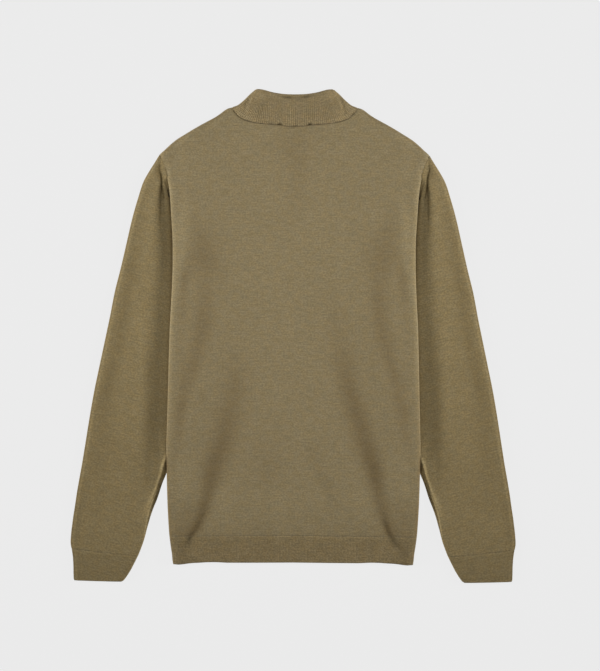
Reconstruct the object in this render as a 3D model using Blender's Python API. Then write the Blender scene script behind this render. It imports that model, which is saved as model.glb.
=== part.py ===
"""Knitted sweater with a short stand collar, laid flat with its back side up.

The sides of the body are tucked under along a soft edge, and the sleeves come
out from beneath them. Sizes are in millimetres and become metres when a mesh
is made. X is across the body, Y runs from the hem to the collar, Z is up, and
the garment rests on Z = 0.
"""
import math

import bmesh
import bpy
import numpy as np

# Cloth and seams
CLOTH = 1.5
COLLAR_CLOTH = 2.4
SEAM_GAP = 0.3
NECK_GAP = 0.4
CENTRE_AIR = 1.1
FOLD_AIR = 1.0

# Ribs
RIB_RISE = 0.45
HEM_RIB_PITCH = 4.0
CUFF_RIB_PITCH = 3.2
COLLAR_RIBS = 63

# How the layers drape over one another
TUCK_MARGIN = 3.0
SLEEVE_SLOPE = 34.0
SLEEVE_MARGIN = 6.0
AIR_RISE = 25.0
SHOULDER_BLEND = 45.0
RIB_TOP_BLEND = 60.0
SLEEVE_FULLNESS = 2.9
CUFF_FULLNESS = 1.4
CUFF_RISE = 20.0
LEAST_STOP = 0.7
SLEEVE_CLEAR = 9.0
SLEEVE_INNER_RISE = 30.0
SLEEVE_OUTER_RISE = 17.0

# Stacks of layers
SLEEVE_STACK = 2.0 * CLOTH + 2.0 * SEAM_GAP
TUCK_STACK = 2.0 * CLOTH + SEAM_GAP + FOLD_AIR
EDGE_HEIGHT = 4.0 * CLOTH + 2.0 * SEAM_GAP + FOLD_AIR
EDGE_RADIUS = EDGE_HEIGHT / 2.0
LEAST_TUCK = EDGE_RADIUS + 4.4

# Key places along the body
SHOULDER_Y = 276.4
SLEEVE_HEAD_Y = 213.3
UNDERARM_Y = 47.4
RIB_TOP_Y = -310.6
HEM_Y = -354.0
SHOULDER_SPAN = 206.4
BEND_START = 101.7
MIDDLE_Y = 0.8

# Folded side edge of the body: y, half width
SIDE_EDGE = [
    (-354.0, 185.4), (-341.6, 186.3), (-319.9, 188.3), (-284.3, 192.2),
    (-231.6, 194.1), (-205.2, 195.3), (-188.2, 196.5), (-172.7, 196.8),
    (-146.3, 196.2), (-99.8, 195.0), (-30.1, 193.4), (16.4, 192.2),
    (39.7, 190.7), (62.9, 189.4), (86.2, 188.2), (109.4, 187.6),
    (132.7, 187.6), (166.8, 188.3), (191.6, 190.0), (204.0, 192.2),
    (213.3, 195.6), (221.0, 199.3), (233.4, 202.9), (248.9, 205.5),
    (264.4, 207.1), (276.4, 210.2),
]

# Edge of the sleeve towards the body, armhole first: y, half width
SLEEVE_INNER = [
    (-381.9, 264.4), (-360.2, 251.1), (-341.6, 241.8), (-323.0, 234.1),
    (-304.4, 229.4), (-285.8, 223.2), (-267.2, 217.0), (-248.6, 210.8),
    (-230.0, 204.6), (-203.7, 194.5), (-161.8, 180.4), (-99.8, 159.7),
    (-37.8, 138.7), (8.7, 123.1), (47.4, 110.0), (70.7, 127.9),
    (101.7, 147.2), (132.7, 160.4), (163.7, 172.8), (191.6, 186.0),
    (213.3, 195.6), (221.0, 199.3), (233.4, 202.9), (248.9, 205.5),
    (264.4, 207.1), (276.4, 210.2),
]

# Outer edge of the sleeve: y, half width
SLEEVE_OUTER = [
    (-378.8, 339.4), (-360.2, 340.4), (-341.6, 341.8), (-332.3, 342.9),
    (-323.0, 344.9), (-304.4, 343.5), (-267.2, 338.8), (-230.0, 332.9),
    (-192.8, 327.1), (-155.6, 320.9), (-118.4, 315.0), (-81.2, 308.4),
    (-44.0, 300.7), (-6.8, 292.9), (30.4, 285.2), (67.6, 278.1),
    (104.8, 268.9), (142.0, 260.4), (179.2, 252.0), (197.8, 247.1),
    (216.4, 241.8), (235.0, 235.3), (253.6, 226.3), (272.2, 215.5),
    (276.4, 210.8),
]

# Side seam of the tucked cloth, hidden under the body: y, half width
TUCK_SEAM = [
    (-354.0, 177.2), (-340.1, 177.2), (-318.4, 173.8), (-295.1, 165.9),
    (-270.3, 156.0), (-242.4, 148.5), (-211.4, 142.5), (-166.5, 136.2),
    (-120.0, 129.0), (-76.6, 122.0), (-28.5, 115.0), (8.7, 112.0),
    (47.4, 110.0),
]

# How far the cloth takes to come down beside the tuck: y, distance
TUCK_SLOPE = [
    (-354.0, 8.0), (-310.6, 10.5), (-250.0, 13.0), (-200.0, 16.0),
    (-100.0, 24.0), (300.0, 24.0),
]

# Shoulder and neck edge: share of the row's half width, y
BACK_TOP = [
    (0.0, 323.6), (0.09, 325.8), (0.184, 327.4), (0.295, 330.8),
    (0.406, 337.4), (0.43, 342.7), (0.457, 348.1), (0.472, 351.9),
    (0.547, 346.6), (0.70, 328.0), (0.85, 309.4), (0.909, 300.1),
    (0.962, 290.8), (0.985, 284.5), (1.0, 276.4),
]
FRONT_TOP = [
    (0.0, 277.1), (0.09, 279.8), (0.184, 287.0), (0.295, 302.5),
    (0.406, 327.1), (0.43, 334.5), (0.457, 344.4), (0.472, 351.9),
    (0.547, 346.6), (0.70, 328.0), (0.85, 309.4), (0.909, 300.1),
    (0.962, 290.8), (0.985, 284.5), (1.0, 276.4),
]
NECK_SHARE = 0.472

# Lower edges of the body: share of the row's half width, y
RIB_TOP = [(0.0, -309.1), (0.5, -309.7), (1.0, -310.6)]
HEM_EDGE = [(0.0, -349.7), (0.5, -350.0), (0.83, -350.9), (0.94, -353.1), (1.0, -354.0)]

# Rows and columns of the body panels
BODY_ROWS = [
    -310.6, -282.0, -250.0, -205.0, -155.0, -100.0, -50.0, 0.0, 47.4, 70.7,
    101.7, 132.7, 163.7, 191.6, 213.3, 233.4, 254.0, 276.4,
]
BODY_COLUMNS = [
    0.0, 0.09, 0.184, 0.295, 0.406, 0.43, 0.457, 0.472, 0.547, 0.60,
    0.65, 0.70, 0.75, 0.80, 0.85, 0.909, 0.962, 1.0,
]
HEM_ROWS = [HEM_Y, -334.0, RIB_TOP_Y - SEAM_GAP]

# Armhole, underarm first: y of the columns of the sleeve
ARMHOLE_ROWS = [
    47.4, 70.7, 101.7, 132.7, 163.7, 191.6, 213.3, 233.4, 254.0, 276.4,
]

# Rows of the sleeve, and how many of them follow the armhole's bow
SLEEVE_ROWS = 14
BOW_ROWS = 4.0

# Ends of the sleeve and of the cuff: outer edge x, y and inner edge x, y
SLEEVE_END = ((343.2, -331.0), (241.8, -341.6))
CUFF_START = ((343.1, -331.4), (241.7, -342.0))
CUFF_MIDDLE = ((340.3, -356.0), (251.6, -362.6))
CUFF_END = ((339.4, -378.8), (263.6, -381.9))

# Top edge of the collar: x, y
COLLAR_BACK_TOP = [
    (0.0, 373.9), (10.5, 373.9), (18.0, 375.5), (27.6, 377.1), (38.0, 379.8),
    (46.8, 381.9), (53.3, 383.5), (55.8, 383.3),
]
COLLAR_FRONT_TOP = [
    (0.0, 334.2), (15.5, 338.8), (31.0, 352.8), (46.5, 371.4), (55.8, 383.3),
]

# How the ribs of the collar fan: share along the neck seam, share along the top
COLLAR_FAN = [
    (0.0, 0.0), (0.19, 0.351), (0.361, 0.633), (0.523, 0.808),
    (0.665, 0.905), (0.808, 0.958), (1.0, 1.0),
]
COLLAR_ROWS = [0.0, 0.22, 0.5, 0.78, 1.0]

# Colours of the yarn
YARN_COLOUR = (0.226, 0.182, 0.097, 1.0)
RIB_COLOUR = (0.190, 0.150, 0.078, 1.0)


def smooth_step(value):
    """Ease from 0 to 1 while the value goes from 0 to 1."""
    value = np.clip(value, 0.0, 1.0)
    return value * value * (3.0 - 2.0 * value)


def along(table, value):
    """Read a two-column table with rising first values."""
    rows = np.array(table)
    return float(np.interp(value, rows[:, 0], rows[:, 1]))


def walk(points, count):
    """Place an even number of points along a line of points."""
    line = np.array(points, dtype=float)
    steps = np.hypot(*np.diff(line, axis=0).T)
    length = np.concatenate([[0.0], np.cumsum(steps)])
    even = np.linspace(0.0, length[-1], count)
    return np.stack([np.interp(even, length, line[:, k]) for k in range(2)], axis=1)


# Plan of the garment

def side_edge(y):
    """Half width of the body at its folded side."""
    return along(SIDE_EDGE, y)


def sleeve_inner(y):
    """Half width at which the sleeve begins."""
    return along(SLEEVE_INNER, y)


def tuck_seam(y):
    """Half width to which the tucked side of the body reaches back."""
    seam = along(TUCK_SEAM, y) if y <= UNDERARM_Y else sleeve_inner(y)
    return min(seam, side_edge(y) - LEAST_TUCK)


# Heights of the layers

def over_sleeve(x, y):
    """1 above the sleeve, easing to 0 beside it."""
    beside = smooth_step((sleeve_inner(y) - abs(x) - SLEEVE_MARGIN) / SLEEVE_SLOPE)
    shoulder = smooth_step((y - SLEEVE_HEAD_Y) / SHOULDER_BLEND)
    return (1.0 - beside) * (1.0 - shoulder)


def tuck_floor(x, y):
    """Underside of the tucked cloth."""
    return SLEEVE_STACK * over_sleeve(x, y)


def front_floor(x, y):
    """Underside of the front panel."""
    beside = smooth_step((tuck_seam(y) - abs(x) - TUCK_MARGIN) / along(TUCK_SLOPE, y))
    return (1.0 - beside) * (tuck_floor(x, y) + TUCK_STACK)


def back_floor(x, y):
    """Underside of the back panel."""
    inside = tuck_seam(y) - abs(x) - TUCK_MARGIN - along(TUCK_SLOPE, y)
    air = SEAM_GAP + CENTRE_AIR * smooth_step(inside / AIR_RISE)
    return front_floor(x, y) + CLOTH + air


def sleeve_top(x, y):
    """Upper side of the sleeve."""
    free = max(side_edge(y) + SLEEVE_CLEAR, sleeve_inner(y))
    inner = smooth_step((abs(x) - free) / SLEEVE_INNER_RISE)
    outer = smooth_step((along(SLEEVE_OUTER, y) - abs(x)) / SLEEVE_OUTER_RISE)
    return 2.0 * CLOTH + SEAM_GAP + SLEEVE_FULLNESS * inner * outer


# Meshes

def bridge(first, first_share, second, second_share):
    """Triangles between two lines of vertices, by their shares along."""
    faces = []
    i = 0
    j = 0
    while i < len(first) - 1 or j < len(second) - 1:
        first_done = i == len(first) - 1
        second_done = j == len(second) - 1
        if second_done or (not first_done and first_share[i + 1] <= second_share[j + 1]):
            faces.append((first[i], first[i + 1], second[j]))
            i += 1
        else:
            faces.append((first[i], second[j + 1], second[j]))
            j += 1
    return faces


def grid_faces(numbers, closed):
    """Quads of a grid of vertex numbers."""
    rows, columns = numbers.shape
    faces = []
    last = columns if closed else columns - 1
    for r in range(rows - 1):
        for c in range(last):
            d = (c + 1) % columns
            faces.append((numbers[r, c], numbers[r, d], numbers[r + 1, d], numbers[r + 1, c]))
    return faces


def wall(name, outer, inner, closed, material):
    """Closed solid between two grids of points, joined along their borders.

    Each point is its place round the section, then x, y and z.
    """
    outer_share = [point[0] for point in outer[0]]
    inner_share = [point[0] for point in inner[0]]
    outer = np.array(outer, dtype=float)[:, :, 1:]
    inner = np.array(inner, dtype=float)[:, :, 1:]
    points = np.concatenate([outer.reshape(-1, 3), inner.reshape(-1, 3)])
    points = np.round(points - [0.0, MIDDLE_Y, 0.0], 2) * 0.001
    first = np.arange(outer.shape[0] * outer.shape[1]).reshape(outer.shape[:2])
    second = np.arange(inner.shape[0] * inner.shape[1]).reshape(inner.shape[:2]) + first.size
    faces = grid_faces(first, closed) + grid_faces(second, closed)
    for r in (0, -1):
        a = list(first[r])
        b = list(second[r])
        share_a = list(outer_share)
        share_b = list(inner_share)
        if closed:
            a.append(a[0])
            b.append(b[0])
            share_a.append(math.inf)
            share_b.append(math.inf)
        faces += bridge(a, share_a, b, share_b)
    if not closed:
        for c in (0, -1):
            for r in range(outer.shape[0] - 1):
                faces.append((first[r, c], first[r + 1, c], second[r + 1, c], second[r, c]))
    mesh = bpy.data.meshes.new(name)
    mesh.from_pydata(points.tolist(), [], [tuple(int(n) for n in face) for face in faces])
    shape = bmesh.new()
    shape.from_mesh(mesh)
    bmesh.ops.recalc_face_normals(shape, faces=shape.faces)
    bmesh.ops.triangulate(shape, faces=shape.faces)
    shape.to_mesh(mesh)
    shape.free()
    for face in mesh.polygons:
        face.use_smooth = True
    mesh.materials.append(material)
    node = bpy.data.objects.new(name, mesh)
    bpy.context.scene.collection.objects.link(node)
    return node


# Body panels

def body_half(side_y, row_y, columns, depth, floor, arc_steps, rib):
    """One row of a body layer, from the centre out and round the fold.

    depth is how far the surface lies inside the outermost one of the fold.
    The first value of a point is its place: 0 to 1 on top, to 2 round the fold
    and to 3 underneath.
    """
    edge = side_edge(side_y)
    centre = edge - EDGE_RADIUS
    lift = tuck_floor(centre, side_y)
    radius = EDGE_RADIUS - depth
    points = []
    for k, share in enumerate(columns):
        x = share * centre
        y = row_y(share)
        rise = RIB_RISE * (k % 2) if rib and k < len(columns) - 1 else 0.0
        points.append((share, x, y, floor(x, y) + rise))
    for k in range(1, arc_steps):
        turn = math.pi * (0.5 - k / arc_steps)
        x = centre + radius * math.cos(turn)
        z = lift + EDGE_RADIUS + radius * math.sin(turn)
        points.append((1.0 + k / arc_steps, x, side_y, z))
    seam = tuck_seam(side_y)
    inner = sleeve_inner(side_y)
    stops = [centre]
    for k, back in enumerate((0.0, 0.25, 0.5, 0.75, 1.0)):
        low = seam + LEAST_STOP * (5 - k)
        high = centre - LEAST_STOP * (k + 1)
        stops.append(min(max(inner - SLEEVE_MARGIN - back * SLEEVE_SLOPE, low), high))
    stops.append(seam)
    for k, x in enumerate(stops):
        points.append((2.0 + k / 6.0, x, side_y, tuck_floor(x, side_y) + depth))
    return points


def mirrored(half):
    """Whole row from its right half, whose first point is on the centre line."""
    return [(-place, -x, y, z) for place, x, y, z in reversed(half[1:])] + half


def panel(name, rows, row_y, columns, depths, floors, arc_steps, material, ribs=False):
    """Body layer that lies on top and turns under along both sides.

    With ribs, every second column stands up on the outer surface, and the
    inner surface leaves it out.
    """
    outer = []
    inner = []
    for side_y in rows:
        height = row_y(side_y)
        inner_columns = columns[::2] if ribs else columns
        outer.append(mirrored(body_half(
            side_y, height, columns, depths[0], floors[0], arc_steps, ribs)))
        inner.append(mirrored(body_half(
            side_y, height, inner_columns, depths[1], floors[1], arc_steps, False)))
    return wall(name, outer, inner, False, material)


def body_row(top):
    """Height of the body's rows: level, and bending to the neck above."""
    def at(side_y):
        bend = smooth_step((side_y - BEND_START) / (SHOULDER_Y - BEND_START))
        flat = 1.0 - smooth_step((side_y - RIB_TOP_Y) / RIB_TOP_BLEND)

        def y_of(share):
            low = along(RIB_TOP, share) - RIB_TOP_Y
            return side_y + flat * low + bend * (along(top, share) - SHOULDER_Y)
        return y_of
    return at


def hem_row(side_y):
    """Height of the hem's rows."""
    def y_of(share):
        low = along(HEM_EDGE, share)
        part = (side_y - HEM_Y) / (RIB_TOP_Y - HEM_Y)
        return low + part * (along(RIB_TOP, share) - SEAM_GAP - low)
    return y_of


def make_body(yarn, rib):
    """Front and back panels with their hem ribs."""
    back = (lambda x, y: back_floor(x, y) + CLOTH, back_floor)
    front = (lambda x, y: front_floor(x, y) + CLOTH, front_floor)
    back_depths = (0.0, CLOTH)
    front_depths = (CLOTH + SEAM_GAP, 2.0 * CLOTH + SEAM_GAP)
    panel("back_panel", BODY_ROWS, body_row(BACK_TOP), BODY_COLUMNS,
          back_depths, back, 4, yarn)
    panel("front_panel", BODY_ROWS, body_row(FRONT_TOP), BODY_COLUMNS,
          front_depths, front, 3, yarn)
    half = int(round((side_edge(HEM_ROWS[1]) - EDGE_RADIUS) / HEM_RIB_PITCH))
    ribs = [k / (2.0 * half) for k in range(2 * half + 1)]
    panel("hem_rib_back", HEM_ROWS, hem_row, ribs, back_depths, back, 4, rib, True)
    panel("hem_rib_front", HEM_ROWS, hem_row, ribs[::2], front_depths, front, 3, rib)


# Sleeves and cuffs

def tube_row(plan, top, ribs, side):
    """Outer and inner loops of a flattened tube over a line of plan points.

    The line runs from the outer edge to the edge towards the body.
    """
    plan = np.array(plan, dtype=float)
    radius = (2.0 * CLOTH + SEAM_GAP) / 2.0
    ends = [plan[0] - plan[1], plan[-1] - plan[-2]]
    ends = [end / np.hypot(*end) for end in ends]
    line = plan.copy()
    line[0] = plan[0] - ends[0] * radius
    line[-1] = plan[-1] - ends[1] * radius
    loops = []
    for depth in (0.0, CLOTH):
        loop = []
        small = radius - depth
        upper = line
        if ribs:
            share = np.linspace(0.0, 1.0, 2 * ribs + 1)
            place = np.linspace(0.0, 1.0, len(line))
            upper = np.stack([np.interp(share, place, line[:, k]) for k in range(2)], axis=1)
        for k, (x, y) in enumerate(upper):
            rise = RIB_RISE * (k % 2) if ribs and depth == 0.0 else 0.0
            loop.append((k / (len(upper) - 1), x * side, y, top(x, y) - depth + rise))
        for k, angle in enumerate((math.pi / 4, 0.0, -math.pi / 4)):
            x, y = line[-1] + ends[1] * small * math.cos(angle)
            loop.append((1.25 + 0.25 * k, x * side, y, radius + small * math.sin(angle)))
        for k, (x, y) in enumerate(line[::-1]):
            loop.append((2.0 + k / (len(line) - 1), x * side, y, depth))
        for k, angle in enumerate((-math.pi / 4, 0.0, math.pi / 4)):
            x, y = line[0] + ends[0] * small * math.cos(angle)
            loop.append((3.25 + 0.25 * k, x * side, y, radius + small * math.sin(angle)))
        loops.append(loop)
    return loops


def tube(name, plans, top, ribs, side, material):
    """Flattened tube through lines of plan points."""
    outer = []
    inner = []
    for plan in plans:
        loops = tube_row(plan, top, ribs, side)
        outer.append(loops[0])
        inner.append(loops[1])
    return wall(name, outer, inner, True, material)


def make_sleeve(side, suffix, yarn, rib):
    """One sleeve from the armhole to the cuff, and the cuff."""
    armhole = [(sleeve_inner(y) + SEAM_GAP, y) for y in reversed(ARMHOLE_ROWS)]
    armhole = np.array(armhole)
    steps = np.hypot(*np.diff(armhole, axis=0).T)
    share = np.concatenate([[0.0], np.cumsum(steps)]) / steps.sum()
    bow = armhole - (armhole[0] + share[:, None] * (armhole[-1] - armhole[0]))
    outer_line = [tuple(armhole[0])]
    outer_line += [(x, y) for y, x in reversed(SLEEVE_OUTER) if SHOULDER_Y > y > -330.0]
    outer_line.append(SLEEVE_END[0])
    inner_line = [tuple(armhole[-1])]
    inner_line += [(x, y) for y, x in reversed(SLEEVE_INNER) if UNDERARM_Y > y > -341.0]
    inner_line.append(SLEEVE_END[1])
    outer_edge = walk(outer_line, SLEEVE_ROWS)
    inner_edge = walk(inner_line, SLEEVE_ROWS)
    plans = []
    for k in range(SLEEVE_ROWS):
        fade = max(0.0, 1.0 - k / BOW_ROWS) ** 2
        across = outer_edge[k] + share[:, None] * (inner_edge[k] - outer_edge[k])
        plans.append(across + bow * fade)
    tube("sleeve_" + suffix, plans, sleeve_top, 0, side, yarn)

    def cuff_top(x, y):
        full = np.interp(y, [-382.0, -331.0], [0.75, 1.0])
        edge = min(abs(x - cuff_inner(y)), abs(cuff_outer(y) - x))
        return 2.0 * CLOTH + SEAM_GAP + CUFF_FULLNESS * full * smooth_step(edge / CUFF_RISE)

    def cuff_inner(y):
        return np.interp(y, [-381.9, -362.6, -342.0], [263.6, 251.6, 241.7])

    def cuff_outer(y):
        return np.interp(y, [-378.8, -356.0, -331.4], [339.4, 340.3, 343.1])

    cuff = []
    for start, end in (CUFF_START, CUFF_MIDDLE, CUFF_END):
        cuff.append(np.linspace(start, end, 9))
    width = CUFF_START[0][0] - CUFF_START[1][0]
    tube("cuff_" + suffix, cuff, cuff_top, int(width / CUFF_RIB_PITCH), side, rib)


# Collar

def neck_line(table, count):
    """Even points from the centre to the side of a neck edge."""
    line = []
    for share, y in table:
        if share <= NECK_SHARE:
            aside = NECK_GAP * min(1.0, share / 0.3)
            line.append((share * SHOULDER_SPAN - aside, y + NECK_GAP))
    return walk(line, count)


def collar_half(table, top, share_list, row, radius):
    """Plan points of half of a collar layer, and the way out at its side."""
    fine = 400
    base = neck_line(table, fine)
    edge = walk(top, fine)
    base_length = np.hypot(*np.diff(base, axis=0).T).sum()
    edge_length = np.hypot(*np.diff(edge, axis=0).T).sum()
    points = []
    for share in share_list:
        low = share * (1.0 - radius / base_length)
        high = along(COLLAR_FAN, share) * (1.0 - radius / edge_length)
        low = base[int(round(low * (fine - 1)))]
        high = edge[int(round(high * (fine - 1)))]
        points.append(low + row * (high - low))
    side = base[-1] + row * (edge[-1] - base[-1])
    return points, side


def make_collar(rib):
    """Folded rib collar as a flattened tube."""
    radius = (2.0 * COLLAR_CLOTH + SEAM_GAP) / 2.0
    fine = [k / COLLAR_RIBS for k in range(COLLAR_RIBS + 1)]
    plain = [k / 12.0 for k in range(13)]
    outer = []
    inner = []
    for row in COLLAR_ROWS:
        for depth, loops in ((0.0, outer), (COLLAR_CLOTH, inner)):
            small = radius - depth
            steps = fine if depth == 0.0 else plain
            back, side = collar_half(BACK_TOP, COLLAR_BACK_TOP, steps, row, radius)
            front, side = collar_half(FRONT_TOP, COLLAR_FRONT_TOP, plain, row, radius)
            front[-1] = back[-1]
            half = []
            for k, (x, y) in enumerate(back):
                rise = RIB_RISE * (k % 2) if depth == 0.0 else 0.0
                half.append((steps[k], x, y, 2.0 * radius - depth + rise))
            turn = []
            for k, angle in enumerate((math.pi / 4, 0.0, -math.pi / 4)):
                out = (side - back[-1]) / radius
                x, y = back[-1] + out * small * math.cos(angle)
                turn.append((1.25 + 0.25 * k, x, y, radius + small * math.sin(angle)))
            for place, (x, y) in reversed(list(zip(plain, front))):
                turn.append((3.0 - place, x, y, depth))
            loop = mirrored(half) + turn
            for place, x, y, z in reversed(turn[:-1]):
                loop.append((6.0 - place, -x, y, z))
            loops.append(loop)
    wall("collar", outer, inner, True, rib)


def make_material(name, colour, roughness):
    """Matt knitted cloth."""
    material = bpy.data.materials.new(name)
    material.use_nodes = True
    shader = material.node_tree.nodes["Principled BSDF"]
    shader.inputs["Base Color"].default_value = colour
    shader.inputs["Roughness"].default_value = roughness
    shader.inputs["Metallic"].default_value = 0.0
    return material


def main():
    """Build every piece of the sweater."""
    for node in list(bpy.data.objects):
        bpy.data.objects.remove(node, do_unlink=True)
    yarn = make_material("plain_knit", YARN_COLOUR, 0.9)
    rib = make_material("rib_knit", RIB_COLOUR, 0.92)
    make_body(yarn, rib)
    make_sleeve(1.0, "right", yarn, rib)
    make_sleeve(-1.0, "left", yarn, rib)
    make_collar(rib)


main()
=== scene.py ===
"""Looks of a fine-knit sweater with a short stand collar, laid flat with its back side up.

Sizes are in millimetres until a mesh is made. X is across the body, Y runs
from the hem to the collar and Z is up. A fade is given as its start and its
length, a stroke as its centre and half width, and a stretch as one fade in
and one fade out. A tone is painted shading: the share by which painted shade
makes the yarn look darker, or, below 0, painted highlight makes it lighter.
"""

import math

import bpy
import numpy as np
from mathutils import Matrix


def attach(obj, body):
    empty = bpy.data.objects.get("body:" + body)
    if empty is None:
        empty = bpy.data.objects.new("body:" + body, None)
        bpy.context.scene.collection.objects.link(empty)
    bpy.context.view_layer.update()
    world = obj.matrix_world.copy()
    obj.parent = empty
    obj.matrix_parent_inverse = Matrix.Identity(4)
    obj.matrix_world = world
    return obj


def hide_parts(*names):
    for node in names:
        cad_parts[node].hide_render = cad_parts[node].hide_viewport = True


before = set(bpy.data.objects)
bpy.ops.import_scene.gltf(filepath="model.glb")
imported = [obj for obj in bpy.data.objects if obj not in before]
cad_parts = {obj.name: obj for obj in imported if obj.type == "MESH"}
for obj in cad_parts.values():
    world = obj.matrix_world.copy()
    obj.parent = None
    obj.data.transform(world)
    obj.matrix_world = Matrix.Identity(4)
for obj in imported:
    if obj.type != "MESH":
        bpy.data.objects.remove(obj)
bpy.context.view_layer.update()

METRE = 0.001
TURN = 2 * math.pi

# Cloth and the stack of its layers
CLOTH = 1.5
COLLAR_CLOTH = 2.4
SEAM_GAP = 0.3
JOIN = 0.02
LEAST_GAP = 0.1
FOLD_AIR = 1
FOLD_REACH = 3
FOLD_WIDTH = 6
FOLD_START = math.radians(60)
LEAST_TUCK = 8.2
SLEEVE_FLAT = 2 * CLOTH + SEAM_GAP
SLEEVE_STACK = 2 * CLOTH + 2 * SEAM_GAP
TUCK_STACK = 2 * CLOTH + SEAM_GAP + FOLD_AIR

# Places along the garment
SHOULDER_Y = 276.4
UNDERARM_Y = 47.4
RIB_TOP_Y = -310.6
HEM_Y = -354
MIDDLE_Y = 0.8
BEND_START = 101.7
NECK_SHARE = 0.472
SHOULDER_SPAN = 207.2
TIP_SHARE = 1.0145
FINE_Y = 190

# Ribs
HEM_RIB_PITCH = 2.3
HEM_RIB_HEIGHT = 0.25
HEM_RIB_Y = -332
HEM_RIB_FADE = 5
CUFF_RIB_PITCH = 2.3
CUFF_RIB_HEIGHT = 0.12
CUFF_WIDTH = 101
COLLAR_RIBS = 63
COLLAR_RIB_POINTS = 4
RIB_POINTS = 6

# Thinner cloth at the shoulder's tip, the neck's rim and the hem
TIP_UP = (222, 40)
TIP_OUT = (160, 32)
TIP_LOSS = 0.5
RIM_ROUND = 5
RIM_FADE = 0.05
RIM_LOSS = 0.5
HEM_ROUND = 3.5
HEM_LOSS = 0.35

# Height of the body over the sleeves and the tucked cloth
BESIDE_SLEEVE = (6, 34)
ABOVE_HEAD = (213.3, 45)
TUCK_INSET = 3
RIB_LEVEL = 60
FOLD_SQUARE = 0.9
FOLD_SQUARE_UP = (228, 26)

# Relief of the back
AIR = 0.3
EDGE_AIR = 2.6
AIR_IN = (12, 30)
ROLL_WIDTH = 12
ROLL_DROP = 0.0265
ROLL_LOSS = 0.8
ROLL_END = (225, 35)
VALLEY = (22, 9)
VALLEY_DEPTH = 0.3
VALLEY_ALONG = (-190, 60, 130, 50)
FURROW_DEPTH = 0.4
WAVE_HEIGHT = 0.25
WAVE_IN = (4, 25)
WAVES = 5
WAVE_SIZE = 110
WAVE_GROWTH = 0.37
WAVE_TURN = (1.7, 2.4)
WAVE_SHIFT = 3.1
WAVE_SUM = 2.6
NECK_SETTLE = 14
NECK_LEAST = 0.25

# Painted shading of the body, its rim, shoulder tip, hem and joints, and of the cuffs:
# painted shade in furrows, along the neck rim, on rib edges and over the cuffs and their
# sides; painted highlights inside rib edges; painted light at the shoulder tip and over
# the seams of hem, sleeve end and cuff
FURROW_PAINTED_SHADE = 0.055
RIM_PAINTED_SHADE = 0.20
RIM_LINE = 2.4
RIM_ALONG = (0.502, 0.05, 0.955, 0.04)
TIP_PLACE = (206.6, 277.2)
TIP_PAINTED_LIGHT = 0.35
TIP_SIZE = 3
EDGE_PAINTED_SHADE = 0.20
EDGE_LINE = 1.1
EDGE_PAINTED_HIGHLIGHT = 0.14
HEM_LIGHT_REACH = 4.5
CUFF_LIGHT_REACH = 4
HEM_JOINT_PAINTED_LIGHT = 0.18
SLEEVE_JOINT_PAINTED_LIGHT = 0.12
CUFF_JOINT_PAINTED_LIGHT = 0.10
CUFF_JOINT_LINE = 1.2
CUFF_PAINTED_SHADE = (0.10, 0.05)
CUFF_PAINTED_SHADE_IN = (-2, 7)
CUFF_SIDE_PAINTED_SHADE = 0.19
CUFF_SIDE_LINE = 6

# Relief of the sleeve
SLEEVE_AIR = 2.6
SLEEVE_ROUND = 8
LEDGE_DROP = 2.4
LEDGE_INSET = 6
LEDGE_RAMP = (16, 14)
LEDGE_RAMP_UP = (90, 100)
RIDGE_FROM_OUTER = (8, 30)
RIDGE_FROM_INNER = (0, 14)
HEAD_IN = (2, 8)
LEVEL_OUT = (1, 7)
LEVEL_UP = (240, 14)
COVER_IN = (-1, 4)
COVER_ALONG = (-200, 12, 200, 10)
HIDE_IN = (-0.5, 3)
TUCKED_HEAD = (184, 12, 238, 10)
TUCKED_DEPTH = 6
CREST = (3.6, 2.8)
CREST_HEIGHT = 1.4
CREST_ALONG = (-345, 60, -191, 12)
# Painted highlight along the crest of the sleeve's lower inner edge
CREST_LIGHT = (4.8, 5.2)
CREST_PAINTED_HIGHLIGHT = 0.42
CREST_PAINTED_HIGHLIGHT_ALONG = (-292, 42, -196, 14)
STRIP_TOP = 2.2
STRIP_STEP = 1.6
STRIP_LEAST = 0.05
STRIP_END_Y = -180
# Painted shade in the fold beside the armhole, and the darker tone of the linking stitches
FOLD_PAINTED_SHADE = 0.20
STITCH_TONE = 0.42
STITCH_LINE = 1.1
CUFF_ROUND = 5
CUFF_ROUND_DROP = 1.2
CUFF_SLANT = -1.7 / 73.3
CUFF_SEAM_SLANT = -10.6 / 102.8

# Grid of the sleeve: rows, closer together near the shoulder, and columns
SLEEVE_ROWS = 280
SLEEVE_BIAS = 0.5
SLEEVE_COLUMNS = 61
SLEEVE_BOW = 0.3
SLEEVE_SPAN = (-330, 279)
SLEEVE_INNER_END = -341
SLEEVE_WAY = np.array([0.256, -0.967])
ARC = np.array([0.4, 0.25, 0.1, 0, -0.1, -0.25, -0.4]) * math.pi
ARC_PLACES = np.arange(1, 8) / 8

# Relief of the collar
NECK_GAP = 0.02
NECK_GAP_SIDE = 0.16
NECK_GAP_OUT = (66, 10)
OPENING_FADE = 3
FRONT_NECK_GAP = 0.4
NECK_INSET = 0.4
NECK_INSET_SHARE = 0.3
COLLAR_LEVEL = (0.72, 0.25)
COLLAR_PULL = (0.45, 0.55)
COLLAR_RIB_HEIGHT = (0.46, 0.34)
COLLAR_RIB_OUT = (0.45, 0.45)
RIDGE_HEIGHT = 0.5
TURN_RIDGE = (0, 3)
DIP_DEPTH = 0.3
TURN_DIP = (5, 2.5)
TURN_IN = (0.1, 0.2)
BASE_DROP = 0.5
BASE_REACH = 0.10
SIDE_DROP = (70, 14)
SIDE_REACH = 0.35
TOP_DROP = 1.6
TOP_ROUND = 0.07
COLLAR_GIRTH = 105
FRONT_GIRTH = (113, 120)
COLLAR_HEIGHT = 52

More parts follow.
